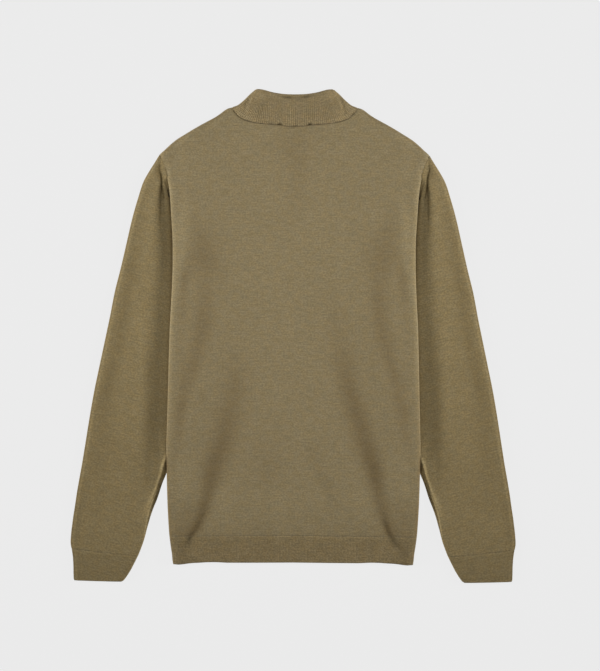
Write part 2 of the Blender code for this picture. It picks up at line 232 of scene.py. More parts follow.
# Painted shading of the collar: painted shade between its ribs and painted highlight on them, and
# the row width of the neck seam's painted shadows
COLLAR_RIB_SHADING = 0.21
COLLAR_RIB_SHADING_LOSS = 0.75
NECK_SHADOW_ROW = 0.028

# Lights: metres, watts and degrees
WORLD = 0.10
SIDE_ENERGY = 1500
SIDE_DISTANCE = 5
SIDE_ELEVATION = 14
SIDE_RADIUS = 0.75
SPOT_ANGLE = 29
SPOT_Y = 0.13
TOP_ENERGY = 9
TOP_SIZE = 0.9
TOP_PLACE = (0, 1, 1.8)
TOP_TARGET = (0, 0.1, 0)
CAMERA_PLACE = (0.0095, 0.0008, 2.895)
CAMERA_TURN = 0.0037
FLOOR_SIZE = 6
FLOOR_Z = -0.0004

# Knits: linear colour, contrast, and red, green and blue lost where painted shade
# darkens the yarn. The body's colour is the sleeves' yarn with a painted sheen,
# a little lighter and bluer
RIB_SHADE_WARMTH = (0, 0.03, 0.10)
LOOKS = {
    "body_knit_look": ((0.2405, 0.1880, 0.0985), 1.05, (-0.04, 0.19, 0.50)),
    "sleeve_knit_look": ((0.2375, 0.1800, 0.0855), 1.2, (0, 0.10, 0.32)),
    "rib_knit_look": ((0.2385, 0.1790, 0.0882), 1.4, RIB_SHADE_WARMTH),
    "collar_knit_look": ((0.2365, 0.1800, 0.0920), 1.25, RIB_SHADE_WARMTH),
    "cuff_knit_look": ((0.2375, 0.1800, 0.0855), 1.1, RIB_SHADE_WARMTH),
}
KNIT_SHADER = {
    "Roughness": 0.92, "Specular IOR Level": 0.15, "Sheen Weight": 0.15,
    "Sheen Roughness": 0.5, "Sheen Tint": (0.9, 0.85, 0.7, 1),
}
FLOOR_SHADER = {
    "Base Color": (0.03, 0.03, 0.03, 1), "Roughness": 1, "Specular IOR Level": 0,
    "Emission Color": (1, 1, 1, 1), "Emission Strength": 0.805,
}

# Noises of the knit: scale across and along the cloth, detail, and change of tone
GRAIN = (360, 460, 1, 0.14)
STREAK = (60, 400, 1, 0.07)
CLOUD = (16, 40, 2, 0.02)
NOISE_RANGE = (0.3, 0.7)
HUE_PATCHES = (95, 110, 1)
HUE_RANGE = (0.35, 0.65)
HUE_SHIFT = (0.012, -0.006, -0.045)
BUMP_STRENGTH = 0.35
BUMP_DISTANCE = 0.0006

# Folded side edge of the body: y, half width
SIDE_EDGE = [
    (-354, 186), (-347.4, 187), (-338, 187.9), (-329, 189.3), (-319.5, 190.7), (-310, 191.9),
    (-301, 192.7), (-282, 193.9), (-264, 194.8), (-236, 195.7), (-205.2, 196.4),
    (-188.2, 196.8), (-172.7, 197), (-146.3, 196.4), (-99.8, 195.2), (-30.1, 193.6),
    (16.4, 192.2), (39.7, 190.9), (62.9, 189.8), (86.2, 188.8), (109.4, 188.2), (132.7, 188.2),
    (160, 189), (180, 190.3), (196, 191.3), (210.2, 192.2), (222.6, 193.4), (235, 195.3),
    (243, 196.8), (250.5, 198), (258.2, 199.6), (264.4, 201.8), (270.6, 204.6), (276, 207.4),
    (280.4, 210.2),
]

# Edge of the sleeve towards the body, cuff to underarm, then the armhole
SLEEVE_INNER = [
    (-381.9, 263.8), (-375.3, 259.4), (-366, 253.2), (-356.7, 248.4), (-347.4, 243.6),
    (-338, 239.2), (-329, 235.7), (-319.5, 232.3), (-310, 229.6), (-301, 227.4), (-292, 224.9),
    (-282, 222.1), (-273, 219.2), (-264, 215.8), (-254, 211.7), (-245, 208.6), (-236, 205.8),
    (-226, 202.4), (-217, 198.6), (-203.7, 193.5), (-161.8, 179.5), (-99.8, 159.2),
    (-37.8, 138.7), (8.7, 123.1), (47.4, 110),
]
ARMHOLE = [
    (47.4, 110), (70.7, 127.9), (101.7, 147.2), (132.7, 160.4), (163.7, 172.8), (191.6, 184.6),
    (210.2, 192.2),
]

# Outer edge of the sleeve: y, half width
SLEEVE_OUTER = [
    (-379.5, 340.5), (-366, 340.8), (-356.7, 340.9), (-347.4, 341.4), (-338, 342),
    (-332, 343.4), (-326, 344.9), (-319.5, 345.5), (-310, 344.9), (-301, 344.1), (-292, 342.9),
    (-282, 341.7), (-264, 338.9), (-245, 336.2), (-217, 331.4), (-198.5, 328.1),
    (-155.6, 321.3), (-118.4, 315.4), (-81.2, 308.8), (-44, 301.1), (-6.8, 293.3),
    (30.4, 285.6), (67.6, 278.5), (104.8, 269.3), (142, 260.8), (179.2, 252.4), (197.8, 247.5),
    (214, 242.7), (223.3, 239.9), (232.6, 237), (242, 233.2), (251.3, 228.1), (260.6, 222.5),
    (269.9, 216.6), (280.4, 210.2),
]

# Side seam of the tucked cloth: y, half width
TUCK_SEAM = [
    (-354, 177.2), (-340.1, 177.2), (-318.4, 173.8), (-295.1, 165.9), (-270.3, 156),
    (-242.4, 148.5), (-211.4, 142.5), (-166.5, 136.2), (-120, 129), (-76.6, 122), (-28.5, 115),
    (8.7, 112), (47.4, 110),
]
TUCK_SLOPE = [(-354, 8), (-310.6, 10.5), (-250, 13), (-200, 16), (-100, 24), (300, 24)]

# Reach of the back's slope from the tucked sides to the middle: y, length
BACK_SLOPE = [
    (-354, 60), (-325, 50), (-300, 26), (-250, 26), (-200, 38), (-100, 65), (0, 95), (300, 95),
]

# Neck edge and shoulder edge: share of the row's half width, y
BACK_NECK = [
    (0, 324.9), (0.09, 327.2), (0.184, 328.8), (0.295, 331.9), (0.406, 338.9), (0.43, 343.6),
    (0.457, 349.6), (0.472, 355),
]
FRONT_NECK = [
    (0, 278.1), (0.09, 280.8), (0.184, 288), (0.295, 303.5), (0.406, 328.1), (0.43, 335.5),
    (0.457, 345.8), (0.472, 355),
]
SHOULDER = [
    (0.472, 355), (0.4985, 353.6), (0.5256, 350.5), (0.5444, 347.4), (0.5637, 344.3),
    (0.5792, 342), (0.639, 335), (0.6988, 328.3), (0.7587, 321.1), (0.8185, 313.5),
    (0.8789, 305.7), (0.9266, 297.8), (0.9508, 293.1), (0.974, 288.5), (1, 283.8),
    (1.0145, 280.4),
]
RIB_TOP = [(0, -309.1), (0.5, -309.7), (1, -310.6)]
HEM_EDGE = [
    (0, -350.5), (0.3, -351), (0.55, -351.2), (0.66, -350.3), (0.73, -350.5), (0.8, -351.3),
    (0.87, -351.9), (0.93, -353.6), (0.97, -354.3), (1, -354),
]

# Top edge of the collar and its side, from the seam up: x, y
COLLAR_BACK_TOP = [
    (0, 375.7), (10, 375.9), (17, 376.3), (25, 377.3), (33.2, 378.7), (39.4, 380.2),
    (45.6, 382), (51.8, 383.5), (56, 384), (59, 383.6),
]
COLLAR_FRONT_TOP = [(0, 335.2), (15.5, 339.8), (31, 353.8), (46.5, 372.4), (59, 383.6)]
COLLAR_SIDE = [
    (97.4, 355.2), (95.2, 356.1), (89, 358.5), (82.8, 363), (76.6, 368.6), (70.4, 375),
    (64.2, 380.4), (61.6, 382.5), (59, 383.6),
]
COLLAR_FAN = [
    (0, 0), (0.19, 0.351), (0.361, 0.633), (0.523, 0.808), (0.665, 0.905), (0.808, 0.958),
    (1, 1),
]

# Line along which the collar turns to its side: y, x
COLLAR_TURN = [(330, 71), (335, 72.5), (343.8, 74.3), (357.9, 72.2), (367, 68.3), (380, 62.5)]

# Openings of the neck seam: x, half length, width
NECK_OPENINGS = [(0, 5, 1.6), (24, 5, 2.2), (36, 6, 0.9), (50, 3, 0.5)]

# Painted shadows of the neck seam, and painted light where it is faint: x, half length, tone
NECK_SEAM_SHADING = [
    (-93, 3, 0.3), (-84, 3.5, 0.35), (-73, 4, 0.35), (-37, 5, 0.25), (-22.3, 3, 0.4),
    (1, 3.5, 0.4), (25, 4, 0.35), (37, 3, 0.2), (66, 3, 0.2), (79, 4, 0.3), (90, 5, 0.35),
    (-55, 9, -0.2), (54, 8, -0.2),
]

# Ends of the sleeve and the cuff: outer edge x, y and inner edge x, y
SLEEVE_END = ((343.6, -331.0), (240.8, -341.6))
CUFF_ROWS = [
    (343.6, -331.02, 240.8, -341.62), (341.8, -343, 245.4, -351), (341, -356, 251.3, -362.6),
    (340.8, -368, 257.4, -372.5), (340.5, -377.4, 262.4, -379.2), (339.3, -379.6, 266, -381.3),
]

# Room between back and front in the middle of the body: y, height
CENTRE_AIR = [
    (-354, 2.6), (-330, 4), (-300, 5), (-250, 6), (-150, 7), (0, 7.5), (120, 6.5), (200, 4.5),
    (270, 2), (330, 0.6),
]

# Room between back and front above the tucked sides: y, height
SIDE_AIR = [
    (-354, 0), (-300, 0.5), (-230, 1.5), (-150, 2.6), (0, 3), (120, 3), (200, 1.5), (276.4, 0),
]

# Soft furrows of the back: y, x, depth, half width
BACK_FURROWS = [
    [(-350, -166, 0, 8), (-330, -164, 0.6, 7), (-322, -163, 3, 6), (-313, -160.5, 5.9, 5.5),
     (-300, -152.8, 6.2, 7), (-277, -142, 5.9, 9), (-253.6, -134.5, 4.9, 12),
     (-207, -123.5, 5, 17.5), (-160.5, -108.5, 4.3, 19.5), (-114, -99, 3, 21),
     (-67.5, -90, 2, 18), (-21, -86, 0.4, 20), (60, -80, 0, 24)],
    [(-350, 172, 0, 8), (-332, 167, 1.6, 7), (-318, 157, 5.2, 5.5), (-300, 148.5, 6.6, 7),
     (-277, 141, 4.8, 9), (-253.6, 133.5, 4.2, 13), (-207, 124.5, 6, 14),
     (-160.5, 109.5, 4.8, 17), (-114, 96, 4.2, 17), (-67.5, 82, 3.4, 16), (-21, 73, 1.8, 17),
     (24.2, 66, 1, 16), (90, 66, 0, 14)],
    [(-225, -192, 0, 8), (-205, -189, 1, 8), (-161.8, -178.5, 1.6, 9), (-114, -170.5, 2.4, 10),
     (-67.5, -162, 2.8, 12), (-21, -149, 3, 15), (24.2, -139, 3, 15), (60, -137, 2.2, 14),
     (87, -137, 1.8, 18), (118, -139, 2.8, 25), (150, -142, 2, 22), (190, -155, 0.4, 16),
     (220, -166, 0, 12)],
    [(-225, 190, 0, 8), (-200.6, 186, 0.8, 8), (-161.8, 175.2, 1.6, 9), (-114, 165, 2.6, 10),
     (-67.5, 157, 2.7, 11), (-21, 143, 3, 13), (24.2, 133, 3, 15), (60, 131, 2.6, 15),
     (87, 134, 2, 18), (118, 136, 2.6, 26), (150, 142, 1.8, 24), (190, 152, 0.6, 16),
     (220, 172, 0, 12)],
    [(-250, -48, 0, 18), (-208, -40, 1, 26), (-150, -48, 0.4, 18), (-120, -50, 0, 18)],
    [(170, 2, 0, 14), (220, 3, 0.7, 14), (300, 2, 1.4, 26), (330, 2, 1, 30)],
    [(-275, 68, 0, 8), (-246, 56, 1.3, 8), (-215, 43, 1.3, 9), (-184, 31, 0.9, 9),
     (-160, 22, 0, 9)],
    [(-345, -18, 0, 10), (-325, -17, -0.9, 11), (-270, -17, -0.8, 11), (-235, -16, 0, 10)],
]

# Painted shading of the back: painted shade and painted highlights by its folded edges, and
# painted shade towards the hem: y, distance from the folded edge, tone, half width
BACK_PAINTED_SHADING = [
    [(40, 8, 0, 6), (90, 9, -0.1, 6), (118, 11, -0.14, 8), (150, 14, -0.18, 10),
     (180, 17, -0.16, 9), (205, 24, -0.1, 8), (235, 22, 0, 8)],
    [(-140, 15, 0, 8), (-112, 19, 0.07, 8), (-67.5, 20, 0.03, 8), (0, 19, 0.04, 8),
     (50, 19, 0.08, 8), (90, 21, 0.14, 9), (115, 24, 0.04, 8), (140, 28, 0, 8)],
    [(-265, 24, 0, 12), (-235, 24, -0.07, 12), (-215, 25, -0.07, 12), (-185, 27, -0.04, 12),
     (-165, 28, 0, 12)],
    [(-260, 47, 0, 8), (-235, 47, -0.04, 8), (-200, 46, -0.03, 9), (-170, 45, 0, 9)],
    [(-335, 27, 0, 10), (-305, 29, 0.09, 12), (-275, 30, 0.08, 13), (-253, 33, 0.07, 13),
     (-228, 34, 0, 12)],
    [(-354, 1.2, 0.24, 3.2), (-215, 1.2, 0.24, 3.2), (-190, 1.2, 0.16, 3.6),
     (-145, 1.2, 0.13, 4.4), (-98, 1.2, 0.1, 4), (-36, 1.2, 0.05, 2.6), (30, 2.2, -0.02, 3.6),
     (80, 2.2, -0.02, 3.6), (120, 1.2, 0.03, 2.6), (150, 1.2, 0.06, 2.6), (190, 1.2, 0.04, 2.6),
     (215, 1.2, 0.02, 3), (232, 3, -0.06, 5), (241, 3.2, -0.08, 4.4), (249, 2.8, -0.34, 4),
     (262, 3.6, -0.2, 5), (275, 5, -0.06, 6), (284, 5, 0, 6)],
    [(-212, 0, 0, 1.4), (-204, 0, 0.45, 1.4), (-190, 0, 0.4, 1.4), (-183, 0, 0, 1.4)],
    [(-354, 12, 0.12, 13), (-322, 12, 0.1, 12), (-295, 12, 0.07, 14), (-262, 14, 0.03, 16),
     (-235, 16, 0, 16)],
    [(-354, 0, 0.06, 900), (-335, 0, 0.08, 900), (-322, 0, 0.09, 900), (-311, 0, 0.07, 900),
     (-296, 0, 0.03, 900), (-270, 0, 0, 900), (-247, 0, -0.03, 900), (-228, 0, 0, 900)],
    [(-300, 90, 0, 16), (-280, 90, -0.05, 16), (-250, 88, -0.05, 16), (-222, 86, 0, 16)],
]

# Drop of the sleeve towards the body: y, x, half width
SLEEVE_LEDGE = [
    (-300, 262, 26), (-208.3, 252, 28), (-115.3, 238, 28), (-21, 229, 28), (55.2, 220, 26),
    (117.2, 213, 22), (163.7, 209, 16), (200, 208, 9), (225, 207, 5), (276.4, 207.5, 4),
]

# Ridge of the sleeve below its fullness: y, height
SLEEVE_RIDGE = [(-341.6, 1.2), (-300, 1.8), (-255, 1.6), (-200, 0.8), (-150, 0)]

# Valley inside the sleeve's outer edge: y, distance from the edge, depth, half width
SLEEVE_VALLEY = [
    (-341.6, 10, 0.4, 8), (-310, 11, 0.5, 9), (-260, 18, 0.6, 16), (-160, 20, 0.8, 16),
    (-50, 20, 1, 14), (60, 18.5, 1, 10), (140, 15, 0.7, 9), (200, 13, 0.3, 9), (260, 12, 0, 9),
]

# Rise of the sleeve's head beside the shoulder: y, height
HEAD_RISE = [(205, 0), (222, 0.4), (240, 1.2), (256, 1.9), (280, 1.9)]

# Painted shade of the sleeve: in the valley inside its outer edge, along that edge and over its
# lower part: y, distance from the outer edge, tone, half width
SLEEVE_PAINTED_SHADE = [
    [(-300, 26, 0.03, 20), (-253, 24, 0.06, 20), (-208, 25, 0.08, 20), (-160.5, 25, 0.1, 18),
     (-114, 20, 0.12, 15), (-67.5, 20.5, 0.2, 11), (-21, 22, 0.15, 11), (25, 21, 0.15, 10),
     (56, 20, 0.15, 9.5), (88, 19, 0.14, 9), (118, 17.5, 0.11, 9), (150, 15, 0.08, 9),
     (180, 14, 0.05, 9), (240, 12, 0, 9)],
    [(-342, 0, 0.06, 3), (-200, 0, 0.12, 3), (0, 0, 0.1, 3), (120, 0, 0.04, 3), (200, 0, 0, 3)],
    [(-342, 0, 0.12, 12), (-300, 0, 0.14, 12), (-250, 0, 0.08, 12), (-200, 0, 0.03, 12),
     (-150, 0, 0, 12)],
    [(-342, 60, 0.05, 90), (-250, 60, 0.06, 90), (-150, 60, 0.04, 90), (-50, 60, 0, 90)],
]

# Painted shade and painted highlights of the sleeve at their place on it: y, x, tone, half width
HEAD_PAINTED_SHADING = [
    [(-40, 232, 0, 12), (30, 226, -0.08, 14), (56, 222, -0.09, 14), (118, 220, -0.11, 12),
     (165, 219, -0.12, 11), (211, 218, -0.13, 10), (235, 216, -0.07, 8), (250, 214, 0, 6)],
    [(-215, 212, 0, 6), (-195, 206, -0.12, 6), (-178, 203, -0.24, 5), (-145, 209, -0.06, 6),
     (-98, 211, -0.05, 6), (-36, 210, -0.04, 6), (10, 209, -0.06, 6), (56, 206.5, -0.09, 6),
     (150, 205, -0.04, 6), (195, 203, -0.08, 5), (211, 202, -0.06, 5), (235, 201, -0.12, 4),
     (248, 203, 0, 4)],
    [(-245, 228, 0, 6), (-212, 225.5, 0.12, 6.5), (-181, 224.5, 0.13, 6), (-150, 224, 0.11, 6),
     (-88, 223, 0.06, 5), (-57, 222.5, 0.08, 5), (-26, 218, 0.03, 5), (5, 216, 0, 5)],
    [(-190, 244, 0, 8), (-150, 243, -0.06, 8), (-57, 238, -0.08, 8), (5, 237, -0.06, 8),
     (50, 235, 0, 8)],
    [(-240, 219, 0, 8), (-212, 216, -0.09, 9), (-192, 212, -0.12, 9), (-170, 213, 0, 8)],
    [(240, 203, 0, 5), (252, 203.5, -0.07, 5), (262, 205, -0.11, 5), (272, 207, -0.09, 5),
     (281, 209, -0.04, 4)],
    [(236, 212, 0, 4), (250, 212.5, 0.16, 4), (262, 213, 0.14, 4), (276, 212, 0, 4)],
]

# Shade beside the body: y, x where it is half as deep, half length, tone
SLEEVE_SHADE = [
    (-230, 232, 18, 0), (-207, 230, 16, -0.03), (-160.5, 228, 14, 0.02), (-114, 226, 12, 0.1),
    (-67.5, 224, 13, 0.1), (-21, 219, 14, 0.09), (56, 212, 15, 0.07), (118, 208, 11, 0.1),
    (165, 207, 7, 0.1), (200, 206.5, 5, 0.09), (225, 206, 4, 0.11), (240, 206, 3, 0.08),
    (256, 206.5, 3, 0.05), (270, 207, 3, 0),
]

# Dark line hugging the body's edge on the sleeve: y, tone, half width
EDGE_SHADE = [
    (-212, 0, 2.6), (-205, 0.75, 3.2), (-196, 0.75, 3.2), (-189, 0.45, 2.8), (-183, 0.06, 2.4),
    (-170, 0.12, 2.4), (-145, 0.09, 2.4), (-98, 0.15, 2.6), (-36, 0.24, 3.4), (10, 0.24, 3.6),
    (56, 0.29, 4.2), (87, 0.36, 4.4), (118, 0.47, 4.4), (150, 0.52, 4.4), (180, 0.42, 4.8),
    (204, 0.75, 3.4), (219.5, 0.66, 3.8), (232, 0.3, 3), (244, 0, 2.4),
]

# Linking stitches that show beside the armhole: x, y of both ends
ARMHOLE_STITCHES = [
    (-200.8, 238.4, -198.6, 232.6), (-199, 231.4, -196.4, 226), (-196.8, 225.6, -194.5, 216.4),
    (-205.4, 231.9, -202.5, 214.5), (200.6, 237.6, 198.4, 231.8), (198.8, 230.4, 196.2, 224.4),
    (196.6, 222.6, 194.6, 214), (205.4, 231, 202.6, 215),
]

# Sharp fold beside the armhole: y, x, depth, half width
ARMHOLE_FOLD = [
    (150, 207, 0, 2.4), (170, 207, 0.1, 2.3), (192.5, 207.3, 0.35, 2), (211, 207, 0.4, 1.8),
    (220, 206.9, 0.65, 1.7), (227, 206.4, 1.4, 1.6), (236, 206.6, 1.9, 1.8),
    (250, 207.8, 2, 3.2), (258, 209.4, 1.6, 2.8), (266, 209.1, 1.3, 1.9),
    (273, 208.9, 0.7, 1.5), (279, 208.6, 0, 1.2),
]

# Narrow under layer along the sleeve's lower inner edge: y, width
UNDER_STRIP = [
    (-330, 0), (-312, 0.6), (-298, 1.4), (-286, 2.4), (-267.2, 3.8), (-253, 3.8), (-241, 2.6),
    (-230, 2.3), (-214, 3.4), (-199, 5.2), (-185, 5.2),
]


# Tables and curves

def ease(value):
    """Ease from 0 to 1 while the value goes from 0 to 1."""
    value = np.clip(value, 0.0, 1.0)
    return value * value * (3 - 2 * value)


def fade(value, start, length):
    """Ease from 0 at the start to 1 a length further on."""
    return ease((value - start) / length)


def stretch(value, start, rise, end, fall):
    """Fade in from the start and out from the end."""
    return fade(value, start, rise) * (1 - fade(value, end, fall))


def bell(value, centre, width):
    """Soft stroke, 1 at its centre."""
    return np.exp(-(((value - centre) / width) ** 2))


def rounding(inside, reach):
    """1 on a rounded edge, falling to 0 at its reach."""
    return 1 - np.sqrt(np.clip(inside / reach, 0.0, 1.0))


def curve(table):
    """Smooth curve through a two-column table with rising first values."""
    x, y = np.array(table, dtype=float).T
    step = np.diff(x)
    slope = np.diff(y) / step
    lean = np.zeros(len(x))
    for k in range(1, len(x) - 1):
        if slope[k - 1] * slope[k] > 0:
            a = 2 * step[k] + step[k - 1]
            b = step[k] + 2 * step[k - 1]
            lean[k] = (a + b) / (a / slope[k - 1] + b / slope[k])
    lean[0] = slope[0]
    lean[-1] = slope[-1]

    def value_at(value):
        value = np.clip(np.asarray(value, dtype=float), x[0], x[-1])
        k = np.clip(np.searchsorted(x, value) - 1, 0, len(step) - 1)
        t = (value - x[k]) / step[k]
        h = step[k]
        return ((1 + 2 * t) * (1 - t) ** 2 * y[k] + t * (1 - t) ** 2 * h * lean[k]
                + t * t * (3 - 2 * t) * y[k + 1] + t * t * (t - 1) * h * lean[k + 1])
    return value_at


def columns(table, y):
    """Smooth curves of a table's further columns, read at y."""
    rows = np.array(table, dtype=float)
    return [curve(rows[:, (0, k)])(y) for k in range(1, rows.shape[1])]


def at(line, places):
    """Points of a line of evenly numbered points, between them too."""
    step = np.arange(len(line))
    return np.stack([np.interp(places, step, line[:, k]) for k in range(2)], axis=1)


side_edge = curve(SIDE_EDGE)
sleeve_lower = curve(SLEEVE_INNER)
armhole_lower = curve(ARMHOLE)
sleeve_outer = curve(sorted(SLEEVE_OUTER))
sleeve_ridge = curve(SLEEVE_RIDGE)
head_rise = curve(HEAD_RISE)
tuck_lower = curve(TUCK_SEAM)
tuck_slope = curve(TUCK_SLOPE)
back_slope = curve(BACK_SLOPE)
back_neck = curve(BACK_NECK)
front_neck = curve(FRONT_NECK)
shoulder = curve(SHOULDER)
centre_air = curve(CENTRE_AIR)
side_air = curve(SIDE_AIR)
collar_turn = curve(COLLAR_TURN)
under_strip = curve(UNDER_STRIP)


def hem_edge(share):
    """Height of the hem's edge."""
    return np.interp(share, *np.array(HEM_EDGE).T)


def rib_top(share):
    """Height of the seam between the hem's rib and the body."""
    return np.interp(share, *np.array(RIB_TOP).T)


def armhole(y):
    """Half width of the armhole seam, which ends at the body's folded edge."""
    return np.where(y <= ARMHOLE[-1][0], armhole_lower(y), side_edge(y))


def sleeve_inner(y):
    """Half width at which the sleeve begins."""
    return np.where(y <= UNDERARM_Y, sleeve_lower(y), armhole(y))


def tuck_seam(y):
    """Half width to which the tucked side of the body reaches back."""
    seam = np.where(y <= UNDERARM_Y, tuck_lower(y), armhole(y))
    return np.minimum(seam, side_edge(y) - LEAST_TUCK)


def body_top(neck, share):
    """Upper outline of a body panel."""
    return np.where(share <= NECK_SHARE, neck(share), shoulder(share))


def row_share(x, y):
    """Share of the half width of a body row, measured below the shoulder."""
    return np.abs(x) / (side_edge(np.minimum(y, SHOULDER_Y)) - FOLD_REACH)


def cuff_seam(x):
    """Height of the seam between sleeve and cuff."""
    return SLEEVE_END[0][1] + (SLEEVE_END[0][0] - np.abs(x)) * CUFF_SEAM_SLANT


def cuff_end(x):
    """Height of the cuff's edge."""
    return CUFF_ROWS[-1][1] + (CUFF_ROWS[-1][0] - np.abs(x)) * CUFF_SLANT


def waves(x, y):
    """Gentle uneven rise and fall, about -1 to 1."""
    total = 0
    for k in range(WAVES):
        turn = WAVE_TURN[0] + k * WAVE_TURN[1]
        pitch = WAVE_SIZE * (1 + WAVE_GROWTH * k)
        across = x * math.cos(turn) + y * math.sin(turn)
        total += np.sin(across * TURN / pitch + WAVE_SHIFT + k) / (1 + k / 2)
    return total / WAVE_SUM


# Heights of the layers

def furrow(x, y, table):
    """Soft furrow, with its y, x, depth and half width in the table."""
    middle = curve([row[:2] for row in table])
    lean = (middle(y + 1) - middle(y - 1)) / 2
    centre, depth, width = columns(table, y)
    return -depth * bell((x - centre) / np.hypot(1, lean), 0, width)


def thin(x, y):
    """Share of the cloth's thickness that is left near its edges."""
    across = row_share(x, y)
    tip = fade(y, *TIP_UP) * fade(np.abs(x), *TIP_OUT)
    rim = rounding(body_top(back_neck, across) - y, RIM_ROUND)
    rim = rim * fade(across, NECK_SHARE, RIM_FADE)
    hem = rounding(y - hem_edge(across), HEM_ROUND)
    return (1 - TIP_LOSS * tip) * (1 - RIM_LOSS * rim) * (1 - HEM_LOSS * hem)


def tuck_floor(x, y):
    """Underside of the tucked cloth, which rises over the sleeve."""
    beside = fade(sleeve_inner(y) - np.abs(x), *BESIDE_SLEEVE)
    return SLEEVE_STACK * ((1 - beside) * (1 - fade(y, *ABOVE_HEAD)))


def beside_tuck(x, y, slope):
    """0 above the tucked cloth, easing to 1 towards the middle of the body."""
    return fade(tuck_seam(y) - np.abs(x), TUCK_INSET, slope(y))


def front_floor(x, y):
    """Underside of the front panel."""
    beside = beside_tuck(x, y, tuck_slope)
    return (1 - beside) * (tuck_floor(x, y) + TUCK_STACK * thin(x, y))


def front_top(x, y):
    """Upper side of the front panel."""
    return front_floor(x, y) + CLOTH * thin(x, y)


def back_top(x, y):
    """Upper side of the back panel."""
    left = thin(x, y)
    beside = beside_tuck(x, y, back_slope)
    floor = (1 - beside) * (tuck_floor(x, y) + TUCK_STACK * left)
    inward = side_edge(y) - np.abs(x)
    roll = ROLL_DROP * np.clip(ROLL_WIDTH - inward, 0, ROLL_WIDTH) ** 2
    roll *= 1 - ROLL_LOSS * fade(y, *ROLL_END)
    air = EDGE_AIR * left + side_air(y) * fade(inward, *AIR_IN)
    z = floor + 2 * CLOTH * left + AIR + air * (1 - beside) - roll
    valley = bell(inward, *VALLEY) * stretch(y, *VALLEY_ALONG)
    z += beside * centre_air(y) - VALLEY_DEPTH * valley
    for table in BACK_FURROWS:
        z += FURROW_DEPTH * furrow(x, y, table)
    z += WAVE_HEIGHT * waves(x, y) * fade(inward, *WAVE_IN)
    above = body_top(back_neck, np.abs(x) / (side_edge(y) - FOLD_REACH)) - y
    low = front_floor(x, y) + 2 * CLOTH * left + LEAST_GAP
    z = low + (z - low) * (NECK_LEAST + (1 - NECK_LEAST) * fade(above, 0, NECK_SETTLE))
    return np.maximum(z, low)


def back_under(x, y):
    """Underside of the back panel."""
    return back_top(x, y) - CLOTH * thin(x, y)


def head_tuck(y):
    """Share by which the sleeve's head reaches in under the body's fold."""
    return stretch(y, *TUCKED_HEAD)


def sleeve_top(x, y):
    """Upper side of the sleeve."""
    x = np.abs(x)
    outer = sleeve_outer(y) - x
    inner = x - sleeve_lower(np.minimum(y, UNDERARM_Y))
    centre, width = columns(SLEEVE_LEDGE, y)
    fall = ease((x - centre + width) / (2 * width))
    ramp = LEDGE_RAMP[0] + LEDGE_RAMP[1] * (1 - fade(y, *LEDGE_RAMP_UP))
    z = SLEEVE_FLAT + SLEEVE_AIR * fade(outer, 0, SLEEVE_ROUND)
    z += LEDGE_DROP * (fall - 1) * fade(outer, LEDGE_INSET, ramp)
    z += sleeve_ridge(y) * fade(outer, *RIDGE_FROM_OUTER) * fade(inner, *RIDGE_FROM_INNER)
    place, depth, width = columns(SLEEVE_VALLEY, y)
    z -= depth * bell(outer, place, width)
    z += head_rise(y) * (1 - fall) * fade(outer, *HEAD_IN)
    edge = side_edge(y)
    level = (1 - fade(x - edge, *LEVEL_OUT)) * fade(y, *LEVEL_UP)
    z += level * (back_top(edge - FOLD_REACH, y) - z)
    z += furrow(x, y, ARMHOLE_FOLD)
    covered = fade(edge - x, *COVER_IN) * stretch(y, *COVER_ALONG)
    z += covered * (np.minimum(z, SLEEVE_FLAT) - z)
    hidden = head_tuck(y) * fade(edge - x, *HIDE_IN)
    z += hidden * (np.minimum(z, tuck_floor(edge - FOLD_WIDTH, y) - LEAST_GAP) - z)
    strip = under_strip(y)
    z += stretch(y, *CREST_ALONG) * CREST_HEIGHT * bell(inner - strip, *CREST)
    rise = np.where(y < STRIP_END_Y, fade(inner, strip, STRIP_STEP), 1)
    return np.where(strip > STRIP_LEAST, STRIP_TOP + (z - STRIP_TOP) * rise, z)


def cuff_top(x, y):
    """Upper side of the cuff."""
    return sleeve_top(x, y) - CUFF_ROUND_DROP * rounding(y - cuff_end(x), CUFF_ROUND)


# Painted shading of the yarn, and the sleeve's linking stitches

def tones(across, y, tables):
    """Sum of soft strokes of painted shading, with their y, place, share and half width in each
    table.
    """
    total = 0
    for table in tables:
        place, share, width = columns(table, y)
        total += share * bell(across, place, width)
    return total


def edge_painted_shading(inside, reach):
    """Painted shade in a line on a rib's edge, and painted highlight in the band inside it."""
    return EDGE_PAINTED_SHADE * bell(inside, 0, EDGE_LINE) - EDGE_PAINTED_HIGHLIGHT * fade(-inside, -reach, reach - 1)


def body_painted_shading(x, y):
    """Painted shading of the back: painted shade where it sinks and along its rim and edges,
    painted highlights, and painted light at the shoulder tip and the hem's seam.
    """
    tone = tones(side_edge(y) - np.abs(x), y, BACK_PAINTED_SHADING)
    across = row_share(x, y)
    above = body_top(back_neck, across) - y
    # Painted shade along the neck rim
    tone += RIM_PAINTED_SHADE * bell(above, 0, RIM_LINE) * stretch(across, *RIM_ALONG)
    # Painted light that lifts the shade at the shoulder's tip
    tip = np.hypot(np.abs(x) - TIP_PLACE[0], y - TIP_PLACE[1])
    tone -= TIP_PAINTED_LIGHT * bell(tip, 0, TIP_SIZE)
    # Painted shade on the hem's edge and painted highlight inside it
    tone += edge_painted_shading(y - hem_edge(across), HEM_LIGHT_REACH)
    # Painted light over the dark line at the hem's seam
    tone -= HEM_JOINT_PAINTED_LIGHT * bell(y, rib_top(across), 1)
    # Painted shade in the furrows
    for table in BACK_FURROWS:
        tone -= FURROW_PAINTED_SHADE * furrow(x, y, table)
    return tone


